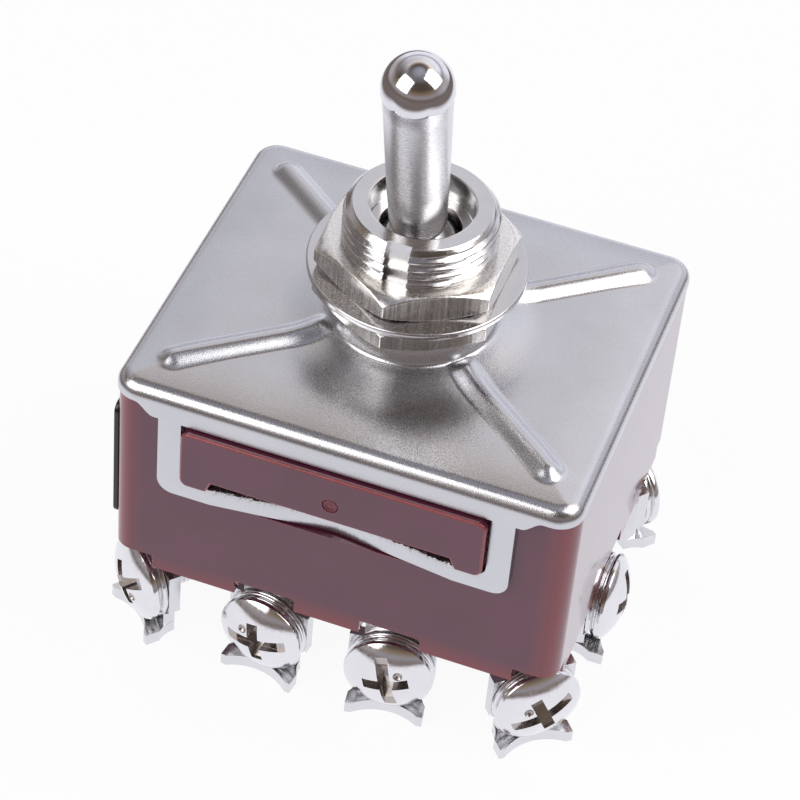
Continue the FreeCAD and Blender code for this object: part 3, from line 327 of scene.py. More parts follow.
COVER_METAL = plated_metal("cover_nickel", (0.645, 0.645, 0.67), (0.60, 0.60, 0.62), 0.25, 12000, 160,
                           grain=0.7, depth=0.00001, spread=0.08)
STRAP_METAL = plated_metal("strap_nickel", (0.645, 0.645, 0.665), (0.625, 0.625, 0.645), 0.28, 5000, 160, grain=0.02,
                           spread=0.02)
TORN_METAL = plated_metal("torn_edge", (0.62, 0.60, 0.60), (0.30, 0.28, 0.28), 0.4, 2600, 1500, grain=1.0,
                          depth=0.00025)
NUT_METAL = plated_metal("nut_nickel", (0.86, 0.84, 0.81), (0.81, 0.79, 0.76), 0.22, 5000, 250, streak=0.12,
                         stretch=(1, 1, 35), scratch=0.45, depth=0.000015)
WASHER_METAL = plated_metal("washer_nickel", (0.66, 0.65, 0.66), (0.63, 0.62, 0.63), 0.22, 6000, 200, grain=0.06)
BUSHING_METAL = plated_metal("bushing_nickel", (0.68, 0.67, 0.67), (0.64, 0.63, 0.63), 0.20, 5000, 300,
                             grain=0.1, depth=0.00002)
LEVER_METAL = plated_metal("lever_chrome", (0.74, 0.73, 0.74), (0.72, 0.71, 0.72), 0.27, 9000, 200,
                           stretch=(8, 8, 1), scratch=0.015, depth=0.00001, spread=0.015,
                           turn=(math.radians(THROW), 0, 0))
TIP_METAL = plated_metal("lever_tip_chrome", (0.76, 0.75, 0.77), (0.74, 0.73, 0.75), 0.11, 1200, 200,
                         grain=0.015, spread=0.01)
LUG_METAL = plated_metal("lug_nickel", (0.76, 0.76, 0.77), (0.72, 0.72, 0.73), 0.20, 5000, 220, grain=0.06)
SCREW_METAL = plated_metal("screw_nickel", (0.82, 0.81, 0.82), (0.78, 0.77, 0.78), 0.15, 4000, 300, grain=0.05)
# Darker, browner metal for the screws' slot, cross and dimple: painted shade in the hollows
RECESS_SHADE_METAL = plated_metal("recess_nickel_painted_shade", (0.52, 0.48, 0.46), (0.44, 0.40, 0.38), 0.3, 4000, 300, grain=0.1)
# The housing's resin, with a painted ruddy glow at its lower rim and corners
HOUSING_RESIN = moulding("maroon_resin", (0.115, 0.024, 0.050), (0.100, 0.020, 0.043), 0.09, coat=0.45,
                         rim=(-0.0195, -0.0172, (0.23, 0.026, 0.032)))
# Lighter maroon for the housing's rounded edges: a painted glow along the edges
EDGE_GLOW_RESIN = moulding("maroon_edges_painted_glow", (0.30, 0.055, 0.062), (0.24, 0.042, 0.048), 0.25, coat=0.3)
GATE_RESIN = moulding("maroon_gate", (0.22, 0.055, 0.06), (0.15, 0.03, 0.04), 0.4)
BLACK_RESIN = moulding("black_plate", (0.012, 0.012, 0.014), (0.008, 0.008, 0.01), 0.12)
BRASS = plated_metal("contact_brass", (0.72, 0.52, 0.24), (0.62, 0.44, 0.2), 0.25)
SILVER = plated_metal("contact_silver", (0.80, 0.79, 0.77), (0.72, 0.71, 0.69), 0.25)
STEEL = plated_metal("spring_steel", (0.6, 0.6, 0.61), (0.5, 0.5, 0.51), 0.25)
CARRIER = moulding("carriage_resin", (0.62, 0.58, 0.5), (0.55, 0.51, 0.44), 0.35)
FIBRE = moulding("fibre_sheet", (0.26, 0.18, 0.12), (0.2, 0.14, 0.09), 0.6)


# Meshes


def mesh_object(name, verts, faces, material, smooth=True):
    """A mesh piece from points in millimetres."""
    mesh = bpy.data.meshes.new(name)
    mesh.from_pydata([tuple(c * MM for c in v) for v in verts], [], faces)
    mesh.materials.append(material)
    mesh.polygons.foreach_set("use_smooth", [smooth] * len(mesh.polygons))
    mesh.update()
    thing = bpy.data.objects.new(name, mesh)
    bpy.context.scene.collection.objects.link(thing)
    return thing


def cleaned(thing):
    """Merges doubled points and turns the faces outwards."""
    mesh = bmesh.new()
    mesh.from_mesh(thing.data)
    bmesh.ops.remove_doubles(mesh, verts=mesh.verts, dist=1e-6)
    bmesh.ops.recalc_face_normals(mesh, faces=mesh.faces)
    mesh.to_mesh(thing.data)
    mesh.free()
    return thing


def sharpened(thing, angle):
    """Marks edges sharper than the angle, so that flats shade flat."""
    mesh = bmesh.new()
    mesh.from_mesh(thing.data)
    limit = math.radians(angle)
    for edge in mesh.edges:
        edge.smooth = len(edge.link_faces) == 2 and edge.calc_face_angle(0.0) < limit
    mesh.to_mesh(thing.data)
    mesh.free()
    return thing


def flattened(thing):
    """Turns live modifiers into plain mesh."""
    graph = bpy.context.evaluated_depsgraph_get()
    made = bpy.data.meshes.new_from_object(thing.evaluated_get(graph))
    thing.modifiers.clear()
    thing.data = made
    return thing


def bevelled(thing, width, segments=2, angle=32, edge=False):
    """Rounds the sharp edges by a width in millimetres and evens the shading; edge gives them the second material."""
    bevel = thing.modifiers.new("bevel", "BEVEL")
    bevel.width = width * MM
    bevel.segments = segments
    bevel.limit_method = "ANGLE"
    bevel.angle_limit = math.radians(angle)
    bevel.miter_outer = "MITER_ARC"
    bevel.material = 1 if edge else -1
    even = thing.modifiers.new("even", "WEIGHTED_NORMAL")
    even.keep_sharp = True
    return flattened(thing)


def softened(node, width, material, segments=2, edge=None, shape=None):
    """A copy of a solid's mesh with slightly rounded edges, shown in its place."""
    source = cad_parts[node]
    mesh = bmesh.new()
    mesh.from_mesh(source.data)
    bmesh.ops.remove_doubles(mesh, verts=mesh.verts, dist=1.5e-6)
    bmesh.ops.dissolve_limit(mesh, angle_limit=math.radians(0.6), verts=mesh.verts, edges=mesh.edges)
    for face in mesh.faces:
        face.material_index = 0
    if shape:
        shape(mesh)
    copy = bpy.data.meshes.new(node + "_dressed")
    copy.materials.append(material)
    if edge:
        copy.materials.append(edge)
    mesh.to_mesh(copy)
    mesh.free()
    copy.polygons.foreach_set("use_smooth", [True] * len(copy.polygons))
    thing = bpy.data.objects.new(node + "_dressed", copy)
    bpy.context.scene.collection.objects.link(thing)
    bevelled(thing, width, segments, edge=edge is not None)
    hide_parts(node)
    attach(thing, "switch")


def lathe(name, profile, material, steps):
    """A profile of (radius, height) in millimetres, turned about Z; it starts and ends on the axis."""
    verts = []
    faces = []
    rows = []
    for radius, height in profile:
        if radius < 1e-6:
            rows.append([len(verts)])
            verts.append((0.0, 0.0, height))
            continue
        rows.append(list(range(len(verts), len(verts) + steps)))
        for step in range(steps):
            angle = 2 * math.pi * step / steps
            verts.append((radius * math.cos(angle), radius * math.sin(angle), height))
    for lower, upper in zip(rows, rows[1:]):
        for step in range(steps):
            after = (step + 1) % steps
            if len(lower) == 1:
                faces.append((lower[0], upper[after], upper[step]))
            elif len(upper) == 1:
                faces.append((lower[step], lower[after], upper[0]))
            else:
                faces.append((lower[step], lower[after], upper[after], upper[step]))
    return cleaned(mesh_object(name, verts, faces, material))


def arc(centre, radius, start, end, count):
    """Points of an arc in the (radius, height) plane, angles in degrees from the radius axis."""
    points = []
    for index in range(count + 1):
        angle = math.radians(start + (end - start) * index / count)
        points.append((centre[0] + radius * math.cos(angle), centre[1] + radius * math.sin(angle)))
    return points


def cut_with(thing, tool, mode="DIFFERENCE", materials="INDEX"):
    """Cuts a thing with a tool, or joins them, and removes the tool."""
    cut = thing.modifiers.new("cut", "BOOLEAN")
    cut.operation = mode
    cut.solver = "EXACT"
    cut.material_mode = materials
    cut.object = tool
    flattened(thing)
    bpy.data.objects.remove(tool)
    return thing


def box_tool(low, high):
    """A plain box used only to cut."""
    corners = [(x, y, z) for x in (low[0], high[0]) for y in (low[1], high[1]) for z in (low[2], high[2])]
    faces = [(0, 1, 3, 2), (4, 6, 7, 5), (0, 4, 5, 1), (2, 3, 7, 6), (0, 2, 6, 4), (1, 5, 7, 3)]
    return cleaned(mesh_object("box", corners, faces, RECESS_SHADE_METAL, smooth=False))


# The cover


def rib_height(x, y):
    """How far the pressed ribs rise above the flat of the cover."""
    length = math.hypot(*RIB_TIP)
    ux, uy = RIB_TIP[0] / length, RIB_TIP[1] / length
    along = abs(x) * ux + abs(y) * uy
    off = abs(abs(x) * uy - abs(y) * ux)
    if along > length:
        off = math.hypot(off, along - length)
    if off >= RIB_HALF_WIDTH:
        return 0.0
    return RIB_RISE * (0.5 + 0.5 * math.cos(math.pi * off / RIB_HALF_WIDTH)) ** 0.8


def crown(x, y):
    """How far the flat of the cover sinks towards its rolled edge."""
    inside = min(COVER_HALF[0] - ROLL_INSET - abs(x), COVER_HALF[1] - ROLL_INSET - abs(y))
    share = max(0.0, 1 - inside / CROWN_REACH)
    return -CROWN_DROP * min(1.0, share) ** 2


def rim_points(inset, corner, spacing):
    """Points and outward normals round a rectangle with rounded corners."""
    a, b = COVER_HALF[0] - inset, COVER_HALF[1] - inset
    points = []
    corners = ((a - corner, b - corner, 0), (-a + corner, b - corner, 90), (-a + corner, -b + corner, 180),
               (a - corner, -b + corner, 270))
    turns = 10
    for index, (cx, cy, start) in enumerate(corners):
        for step in range(turns + 1):
            angle = math.radians(start + 90 * step / turns)
            nx, ny = math.cos(angle), math.sin(angle)
            points.append((cx + corner * nx, cy + corner * ny, nx, ny))
        next_x, next_y = corners[(index + 1) % 4][:2]
        angle = math.radians(start + 90)
        nx, ny = math.cos(angle), math.sin(angle)
        x0, y0 = cx + corner * nx, cy + corner * ny
        x1, y1 = next_x + corner * nx, next_y + corner * ny
        count = int(math.hypot(x1 - x0, y1 - y0) / spacing)
        for step in range(1, count):
            t = step / count
            points.append((x0 + (x1 - x0) * t, y0 + (y1 - y0) * t, nx, ny))
    return points


def skirt_low(x, y):
    """Height of the skirt's lower edge at a point of the rim."""
    if abs(y) > COVER_HALF[1] - 0.8:
        reach = abs(x - STRAP_SHIFT) - STRAP_HALF - SKIRT_EASE
        slope = reach / (COVER_HALF[0] - COVER_CORNER - abs(STRAP_SHIFT) - STRAP_HALF - SKIRT_EASE)
        slope = max(0.0, min(1.0, slope))
        slope = slope * slope * (3 - 2 * slope)
        deep = FRONT_SKIRT - 0.1
        return -deep + (deep - SIDE_SKIRT) * slope
    return -SIDE_SKIRT


def cover_skin():
    """The outer face of the cover as rings, from the collar's mouth to the skirt's lower edge."""
    rim = rim_points(ROLL_INSET, COVER_CORNER - ROLL_INSET, 0.22)
    start = HUB_SLOPE[-1][0]
    rings = []
    angles = [math.atan2(p[1], p[0]) for p in rim]
    for radius, height in ((BUSHING_BORE + 0.05, COLLAR_TOP - 0.02), *HUB_SLOPE):
        ring = []
        for angle in angles:
            x, y = radius * math.cos(angle), radius * math.sin(angle)
            share = max(0.0, min(1.0, (radius - RIB_START) / RIB_BLEND))
            ring.append((x, y, height + share * rib_height(x, y)))
        rings.append(ring)
    flat_rings = 58
    for step in range(1, flat_rings + 1):
        t = step / flat_rings
        ring = []
        for (px, py, _, _), angle in zip(rim, angles):
            x = (1 - t) * start * math.cos(angle) + t * px
            y = (1 - t) * start * math.sin(angle) + t * py
            ring.append((x, y, rib_height(x, y) + crown(x, y)))
        rings.append(ring)
    roll_rings = 9
    for step in range(1, roll_rings + 1):
        bend = CROWN_TURN + (math.pi / 2 - CROWN_TURN) * step / roll_rings
        out = COVER_ROLL * (math.sin(bend) - math.sin(CROWN_TURN))
        down = CROWN_DROP + COVER_ROLL * (math.cos(CROWN_TURN) - math.cos(bend))
        rings.append([(px + nx * out, py + ny * out, -down) for px, py, nx, ny in rim])
    skirt_rings = 4
    for step in range(1, skirt_rings + 1):
        ring = []
        for px, py, nx, ny in rim:
            x, y = px + nx * ROLL_INSET, py + ny * ROLL_INSET
            low = skirt_low(x, y)
            ring.append((x, y, -down + (low + down) * step / skirt_rings))
        rings.append(ring)
    return rings


def make_cover():
    """Pressed sheet cover: skin with ribs and collar, given its sheet thickness. The skirt has the strap's look."""
    rings = cover_skin()
    width = len(rings[0])
    verts = [v for ring in rings for v in ring]
    faces = []
    for row in range(len(rings) - 1):
        for step in range(width):
            after = (step + 1) % width
            faces.append((row * width + step, row * width + after, (row + 1) * width + after,
                          (row + 1) * width + step))
    thing = mesh_object("cover_sheet", verts, faces, COVER_METAL)
    mesh = bmesh.new()
    mesh.from_mesh(thing.data)
    bmesh.ops.remove_doubles(mesh, verts=mesh.verts, dist=1e-6)
    bmesh.ops.recalc_face_normals(mesh, faces=mesh.faces)
    if sum(f.normal.z * f.calc_area() for f in mesh.faces) < 0:
        bmesh.ops.reverse_faces(mesh, faces=mesh.faces)
    mesh.to_mesh(thing.data)
    mesh.free()
    wall = thing.modifiers.new("wall", "SOLIDIFY")
    wall.thickness = (SHEET - 0.02) * MM
    wall.offset = -1
    wall.use_even_offset = True
    flattened(thing)
    thing.data.materials.append(STRAP_METAL)
    thing.data.materials.append(TORN_METAL)
    skirt = -(CROWN_DROP + COVER_ROLL - 0.15) * MM
    for face in thing.data.polygons:
        if face.center.z < skirt:
            face.material_index = 1
    return thing


def crimp(x):
    """How far the strap's foot is pushed in."""
    span = abs(x) / CRIMP_HALF
    if span >= 1:
        return 0.0
    return CRIMP_DEPTH * (1 - math.hypot(span, 0.06))


def make_strap(side):
    """The strap's legs and crimped foot, with a sheared upper edge on the foot."""
    draw = random.Random(7 if side < 0 else 11)
    outer = []
    inner = []
    leg = STRAP_HALF - STRAP_LEG
    window_low = STRAP_LOW + STRAP_FOOT
    for height in (-2.6, -3.2, -4.2, -5.2, -6.2, -7.2, -7.8):
        outer.append((-STRAP_HALF, height))
        inner.append((-leg, height))
    for step in range(7):
        angle = math.radians(180 + 90 * step / 6)
        across, upward = math.cos(angle), math.sin(angle)
        outer.append((-STRAP_HALF + STRAP_BEND + STRAP_BEND * across, STRAP_LOW + STRAP_BEND + STRAP_BEND * upward))
        inner.append((-leg + WINDOW_BEND + WINDOW_BEND * across, window_low + WINDOW_BEND + WINDOW_BEND * upward))
    count = 150
    for step in range(1, count):
        t = step / count
        outer.append(((STRAP_HALF - STRAP_BEND) * (2 * t - 1), STRAP_LOW))
        ragged = draw.uniform(-0.09, 0.07) * min(1, 6 * t, 6 * (1 - t))
        inner.append(((leg - WINDOW_BEND) * (2 * t - 1), window_low + ragged))
    mirror = len(outer) - count + 1
    for step in range(mirror - 1, -1, -1):
        outer.append((-outer[step][0], outer[step][1]))
        inner.append((-inner[step][0], inner[step][1]))
    outside = COVER_HALF[1] - 0.004
    rows = []
    for (ox, oz), (ix, iz) in zip(outer, inner):
        low_push = crimp(ox) if oz < STRAP_LOW + 0.3 else 0.0
        high_push = crimp(ix) if oz < STRAP_LOW + 0.3 else 0.0
        rough = draw.uniform(-0.05, 0.05) if high_push > 0 else 0.0
        ox, ix = ox + STRAP_SHIFT, ix + STRAP_SHIFT
        rows.append([
            (ox, side * (outside - low_push), oz),
            (ix, side * (outside - high_push + rough * 0.4), iz),
            (ix, side * (outside - SHEET - high_push + rough), iz + rough),
            (ox, side * (outside - SHEET - low_push), oz),
        ])
    verts = [v for row in rows for v in row]
    faces = []
    for row in range(len(rows) - 1):
        for corner in range(4):
            after = (corner + 1) % 4
            faces.append((row * 4 + corner, row * 4 + after, (row + 1) * 4 + after, (row + 1) * 4 + corner))
    faces.append((0, 1, 2, 3))
    last = (len(rows) - 1) * 4
    faces.append((last, last + 1, last + 2, last + 3))
    name = "cover_strap_front" if side < 0 else "cover_strap_rear"
    thing = cleaned(mesh_object(name, verts, faces, COVER_METAL))
    thing.data.materials.append(STRAP_METAL)
    thing.data.materials.append(TORN_METAL)
    for face in thing.data.polygons:
        torn = face.normal.z > 0.5 and abs(face.center.z - window_low * MM) < 0.4 * MM
        face.material_index = 2 if torn else 1
    return bevelled(thing, 0.07, 2, 40)


cover = make_cover()
for side in (-1, 1):
    cut_with(cover, make_strap(side), "UNION")
sharpened(cover, 42)
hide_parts("cover_plate")
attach(cover, "switch")


# The bushing


def thread_rad(angle, height):
    """Radius of the thread at an angle and a height, run out under the chamfer."""
    phase = (height / THREAD_PITCH - angle / (2 * math.pi)) % 1.0
    tooth = abs(2 * phase - 1)
    flank = max(0.0, min(1.0, (tooth - 0.12) / 0.76))
    radius = THREAD_RAD - THREAD_DEPTH * (1 - flank)
    ceiling = THREAD_RAD - 0.02 - max(0.0, (height - (BUSHING_TOP - CHAMFER)) * CHAMFER_SLOPE)
    return min(radius, ceiling)


def creased(thing, height):
    """Marks the edges that lie at a height, so that a flat end shades flat."""
    mesh = bmesh.new()
    mesh.from_mesh(thing.data)
    for edge in mesh.edges:
        if all(abs(v.co.z - height * MM) < 2e-6 for v in edge.verts):
            edge.smooth = False
    mesh.to_mesh(thing.data)
    mesh.free()
    return thing


def make_bushing():
    """Threaded barrel with a bored mouth, cut through by the keyway."""
    steps = 200
    low = NUT_TOP - 0.15
    rows = []
    for height in np.linspace(low, BUSHING_TOP - 0.06, 60):
        rows.append([(thread_rad(2 * math.pi * s / steps, height), height) for s in range(steps)])
    rim = THREAD_RAD - 0.02 - CHAMFER_SLOPE * (CHAMFER - 0.06)
    inner = [(rim - 0.09, BUSHING_TOP), (MOUTH_RAD + 0.16, BUSHING_TOP), (MOUTH_RAD + 0.04, BUSHING_TOP - 0.05),
             (MOUTH_RAD, BUSHING_TOP - 0.17), (MOUTH_RAD, 9.05), (MOUTH_RAD - 0.05, 9.0), (3.2, 9.0), (3.15, 8.95),
             (3.15, 8.35), (3.74, 7.8), (3.74, -1.5), (7.1, -1.5), (7.2, -1.4), (7.2, -SHEET), (BUSHING_BORE, -SHEET),
             (BUSHING_BORE, COLLAR_TOP), (5.75, COLLAR_TOP), (5.75, low - 0.3)]
    for radius, height in inner:
        rows.append([(radius, height)] * steps)
    verts = []
    faces = []
    for row in rows:
        for step, (radius, height) in enumerate(row):
            angle = 2 * math.pi * step / steps
            verts.append((radius * math.cos(angle), radius * math.sin(angle), height))
    total = len(rows)
    for row in range(total):
        below = (row + 1) % total
        for step in range(steps):
            after = (step + 1) % steps
            faces.append((row * steps + step, row * steps + after, below * steps + after, below * steps + step))
    thing = cleaned(mesh_object("bushing_threaded", verts, faces, BUSHING_METAL))
    deep = -THREAD_RAD + KEYWAY_DEPTH
    tool = box_tool((-KEYWAY_HALF, -THREAD_RAD - 1, NUT_TOP - 0.4), (KEYWAY_HALF, deep, BUSHING_TOP + 1))
    cut_with(thing, tool)
    return creased(sharpened(thing, 40), BUSHING_TOP)


bushing = make_bushing()
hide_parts("bushing")
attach(bushing, "switch")


# The lever


def leaned(thing, angle, height):
    """Turns a mesh about X and lifts it, in the mesh itself."""
    place = Matrix.Translation((0, 0, height * MM)) @ Matrix.Rotation(math.radians(angle), 4, "X")
    thing.data.transform(place)
    return thing


def make_lever():
    """Bat lever in one turned piece: tail with a ball end, pivot ball, neck, stem and domed tip."""
    profile = [(0.0, TAIL_BALL_LEVEL - TAIL_BALL_RAD)]
    profile += arc((0, TAIL_BALL_LEVEL), TAIL_BALL_RAD, -80, 53, 10)
    profile += [(0.95, -9.4), (0.95, -3.6)]
    profile += arc((0, 0), PIVOT_BALL_RAD, -74, 65, 24)
    profile += [(NECK_RAD, 3.45), (NECK_RAD, STEM_FOOT - STEM_FOOT_BEND)]
    profile += arc((STEM_RAD - STEM_FOOT_BEND, STEM_FOOT), STEM_FOOT_BEND, -90, 0, 8)
    profile += [(STEM_RAD + 0.18, 10.0), (TIP_RAD - 0.16, TIP_REACH - 2.0), (TIP_RAD - 0.10, TIP_REACH - 0.8),
                (TIP_RAD, TIP_REACH - 0.25)]
    profile += arc((0, TIP_REACH), TIP_RAD, 0, 84, 20)
    profile += [(0.0, TIP_REACH + TIP_RAD)]
    thing = lathe("lever_bat", profile, LEVER_METAL, 120)
    thing.data.materials.append(TIP_METAL)
    for face in thing.data.polygons:
        if face.center.z > (TIP_REACH - 0.3) * MM:
            face.material_index = 1
    return leaned(sharpened(thing, 50), THROW, PIVOT_HEIGHT)


lever = make_lever()
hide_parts("lever")
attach(lever, "lever")


# The terminal screws, one pattern set twelve times


def screw_pattern():
    """Screw with a captive washer, domed head, cross and slot recess; its axis is -Z outwards."""
    profile = [(0.0, -4.2), (1.45, -4.2), (1.7, -3.95)]
    for turn in range(10):
        z = -3.95 + turn * SCREW_PITCH
        profile += [(1.7, z + 0.06), (1.42, z + 0.2), (1.7, z + 0.34)]
    profile += [(1.7, -0.02), (3.2, 0.0), (3.5, 0.06), (3.56, 0.18), (3.54, 0.42), (3.4, 0.52), (3.2, 0.56),
                (3.18, 0.66), (3.4, 0.7), (3.58, 0.82), (3.62, 1.05), (3.56, 1.28)]
    top = HEAD_TOP
    dome_rad = (HEAD_RAD ** 2 + HEAD_RISE ** 2) / (2 * HEAD_RISE)
    dome_rings = 14
    for step in range(1, dome_rings + 1):
        radius = (HEAD_RAD - 0.1) * (1 - step / dome_rings)
        profile.append((max(radius, 0.0), top - dome_rad + math.sqrt(dome_rad ** 2 - radius ** 2)))
    thing = lathe("screw_pattern", profile, SCREW_METAL, 56)
    bead = lathe("bead", [(0, top - 0.42), (0.22, top - 0.4), (0.4, top - 0.22), (0.44, top + 0.5), (0, top + 0.5)],
                 RECESS_SHADE_METAL, 20)
    bead.data.transform(Matrix.Translation((1.2 * MM, 0.95 * MM, 0)))
    slot = box_tool((-0.5, -4.2, top - SLOT_DEPTH), (0.5, 4.2, top + 1))
    # The cuts give the recess faces the darker recess metal, a painted shade
    for tool in (slot, arm_tool(0), arm_tool(90), bead):
        cut_with(thing, tool, materials="TRANSFER")
    cleaned(thing)
    return bevelled(thing, 0.05, 2, 38)


def arm_tool(spin):
    """One bar of the cross recess, narrower at its floor."""
    half, low = 1.85, 0.55
    above, shallow, deep = HEAD_TOP + 1, HEAD_TOP - SLOT_DEPTH, HEAD_TOP - CROSS_DEPTH
    verts = []
    for y in (-0.48, 0.48):
        verts += [(-half, y, above), (half, y, above), (half, y, shallow), (low, y, deep), (-low, y, deep),
                  (-half, y, shallow)]
    faces = [(0, 1, 2, 3, 4, 5), (11, 10, 9, 8, 7, 6)]
    for side in range(6):
        after = (side + 1) % 6
        faces.append((side, side + 6, after + 6, after))
    tool = cleaned(mesh_object("arm", verts, faces, RECESS_SHADE_METAL, smooth=False))
    tool.data.transform(Matrix.Rotation(math.radians(spin), 4, "Z"))
    return tool


def set_out(name, pattern, places, material):
    """Sets a pattern at every place with geometry nodes, and returns one plain mesh. The pattern's other materials
    stay."""
    points = bpy.data.meshes.new(name + "_places")
    points.from_pydata([m.translation for m in places], [], [])
    turns = points.attributes.new("turn", "QUATERNION", "POINT")
    for index, place in enumerate(places):
        turns.data[index].value = place.to_quaternion()
    carrier = bpy.data.objects.new(name, points)
    bpy.context.scene.collection.objects.link(carrier)
    tree = bpy.data.node_groups.new(name + "_tree", "GeometryNodeTree")
    tree.interface.new_socket("Geometry", in_out="INPUT", socket_type="NodeSocketGeometry")
    piece_socket = tree.interface.new_socket("Piece", in_out="INPUT", socket_type="NodeSocketObject")
    size_socket = tree.interface.new_socket("Size", in_out="INPUT", socket_type="NodeSocketFloat")
    tree.interface.new_socket("Geometry", in_out="OUTPUT", socket_type="NodeSocketGeometry")
    start, end = tree.nodes.new("NodeGroupInput"), tree.nodes.new("NodeGroupOutput")
    info = tree.nodes.new("GeometryNodeObjectInfo")
    spin = tree.nodes.new("GeometryNodeInputNamedAttribute")
    spin.data_type = "QUATERNION"
    spin.inputs["Name"].default_value = "turn"
    copies = tree.nodes.new("GeometryNodeInstanceOnPoints")
    real = tree.nodes.new("GeometryNodeRealizeInstances")
    paint = tree.nodes.new("GeometryNodeSetMaterial")
    paint.inputs["Material"].default_value = material
    chosen = tree.nodes.new("GeometryNodeMaterialSelection")
    chosen.inputs["Material"].default_value = material
    tree.links.new(chosen.outputs["Selection"], paint.inputs["Selection"])
    tree.links.new(start.outputs["Piece"], info.inputs["Object"])
    tree.links.new(start.outputs["Geometry"], copies.inputs["Points"])
    tree.links.new(info.outputs["Geometry"], copies.inputs["Instance"])
    tree.links.new(spin.outputs["Attribute"], copies.inputs["Rotation"])
    tree.links.new(start.outputs["Size"], copies.inputs["Scale"])
    tree.links.new(copies.outputs["Instances"], real.inputs["Geometry"])
    tree.links.new(real.outputs["Geometry"], paint.inputs["Geometry"])
    tree.links.new(paint.outputs["Geometry"], end.inputs["Geometry"])
    nodes = carrier.modifiers.new("set_out", "NODES")
    nodes.node_group = tree
    nodes[piece_socket.identifier] = pattern
    nodes[size_socket.identifier] = 1.0
    flattened(carrier)
    bpy.data.objects.remove(pattern)
    return carrier


def screw_places():
    """Place and turn of every screw: its axis along the lug's outward normal."""
    places = []
    for x, y, turn, spin in SCREWS:
        stand = Matrix.Rotation(math.radians(90), 4, "X")
        spun = Matrix.Rotation(math.radians(spin), 4, "Y") @ stand
        places.append(Matrix.Translation((x * MM, y * MM, SCREW_LEVEL * MM))
                      @ Matrix.Rotation(math.radians(turn), 4, "Z") @ spun)
    return places


screws = set_out("terminal_screws_set", screw_pattern(), screw_places(), SCREW_METAL)
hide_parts("terminal_screws")
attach(screws, "switch")


# Solids shown with eased edges


def block_raised(mesh):
    """Brings the face of the block in the strap's window out past the sheet and rounds its rim."""
    rim = set()
    for vert in mesh.verts:
        x, y, z = (c / MM for c in vert.co)
        level = BLOCK_SPAN[0] < z < BLOCK_SPAN[1]
        if level and abs(abs(y) - BLOCK_FACE) < 0.02 and abs(x - STRAP_SHIFT) < BLOCK_HALF:
            vert.co.y = math.copysign(BLOCK_FACE + BLOCK_RAISE, y) * MM
            if math.hypot(x - STRAP_SHIFT, z - GATE_LEVEL) > 1:
                rim.add(vert)
    edges = [e for e in mesh.edges if set(e.verts) <= rim and len(e.link_faces) == 2
             and e.calc_face_angle(0) > math.radians(60)]
    # The rounded rim takes the second material, the lighter maroon of the painted edge glow
    bmesh.ops.bevel(mesh, geom=edges, offset=0.2 * MM, segments=3, affect="EDGES", profile=0.5, material=1,
                    clamp_overlap=False)


softened("upper_nut", 0.07, NUT_METAL)
softened("lower_nut", 0.07, NUT_METAL)
softened("panel_washer", 0.04, WASHER_METAL)
# The housing's rounded edges take the lighter maroon edge material, a painted glow
softened("housing", 0.15, HOUSING_RESIN, segments=3, edge=EDGE_GLOW_RESIN, shape=block_raised)
softened("blank_plate", 0.1, BLACK_RESIN)
for row in ("front", "rear", "common"):
    for place in range(1, 5):
        softened("lug_%s_%d" % (row, place), 0.16, LUG_METAL, segments=3)


def make_gate_mark():
    """The moulding gate's broken stub on the block, a rough disc with a raised ring."""
    profile = [(0.0, -0.6), (0.6, -0.6), (0.6, -0.06), (0.52, -0.02), (0.44, -0.05), (0.36, -0.12), (0.16, -0.1),
               (0.0, -0.05)]
    thing = lathe("housing_gate_mark", profile, GATE_RESIN, 32)
    place = Matrix.Translation((STRAP_SHIFT * MM, -(BLOCK_FACE + BLOCK_RAISE) * MM, GATE_LEVEL * MM))
    thing.data.transform(place @ Matrix.Rotation(math.radians(90), 4, "X"))
    return thing


gate_mark = make_gate_mark()
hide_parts("housing")
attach(gate_mark, "switch")


# Solids shown as they are, with a material only

PLAIN = {
    "pivot_pin": STEEL,
    "insulating_sheet": FIBRE,
    "carriage": CARRIER,
    "fixed_contacts": SILVER,
}
for place in range(1, 5):
    PLAIN["plunger_%d" % place] = CARRIER
    PLAIN["plunger_spring_%d" % place] = STEEL
    PLAIN["rocker_%d" % place] = BRASS
    PLAIN["moving_contacts_%d" % place] = SILVER
for node, material in PLAIN.items():
    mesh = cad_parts[node].data
    mesh.materials.clear()
    mesh.materials.append(material)


# Floor, light and camera


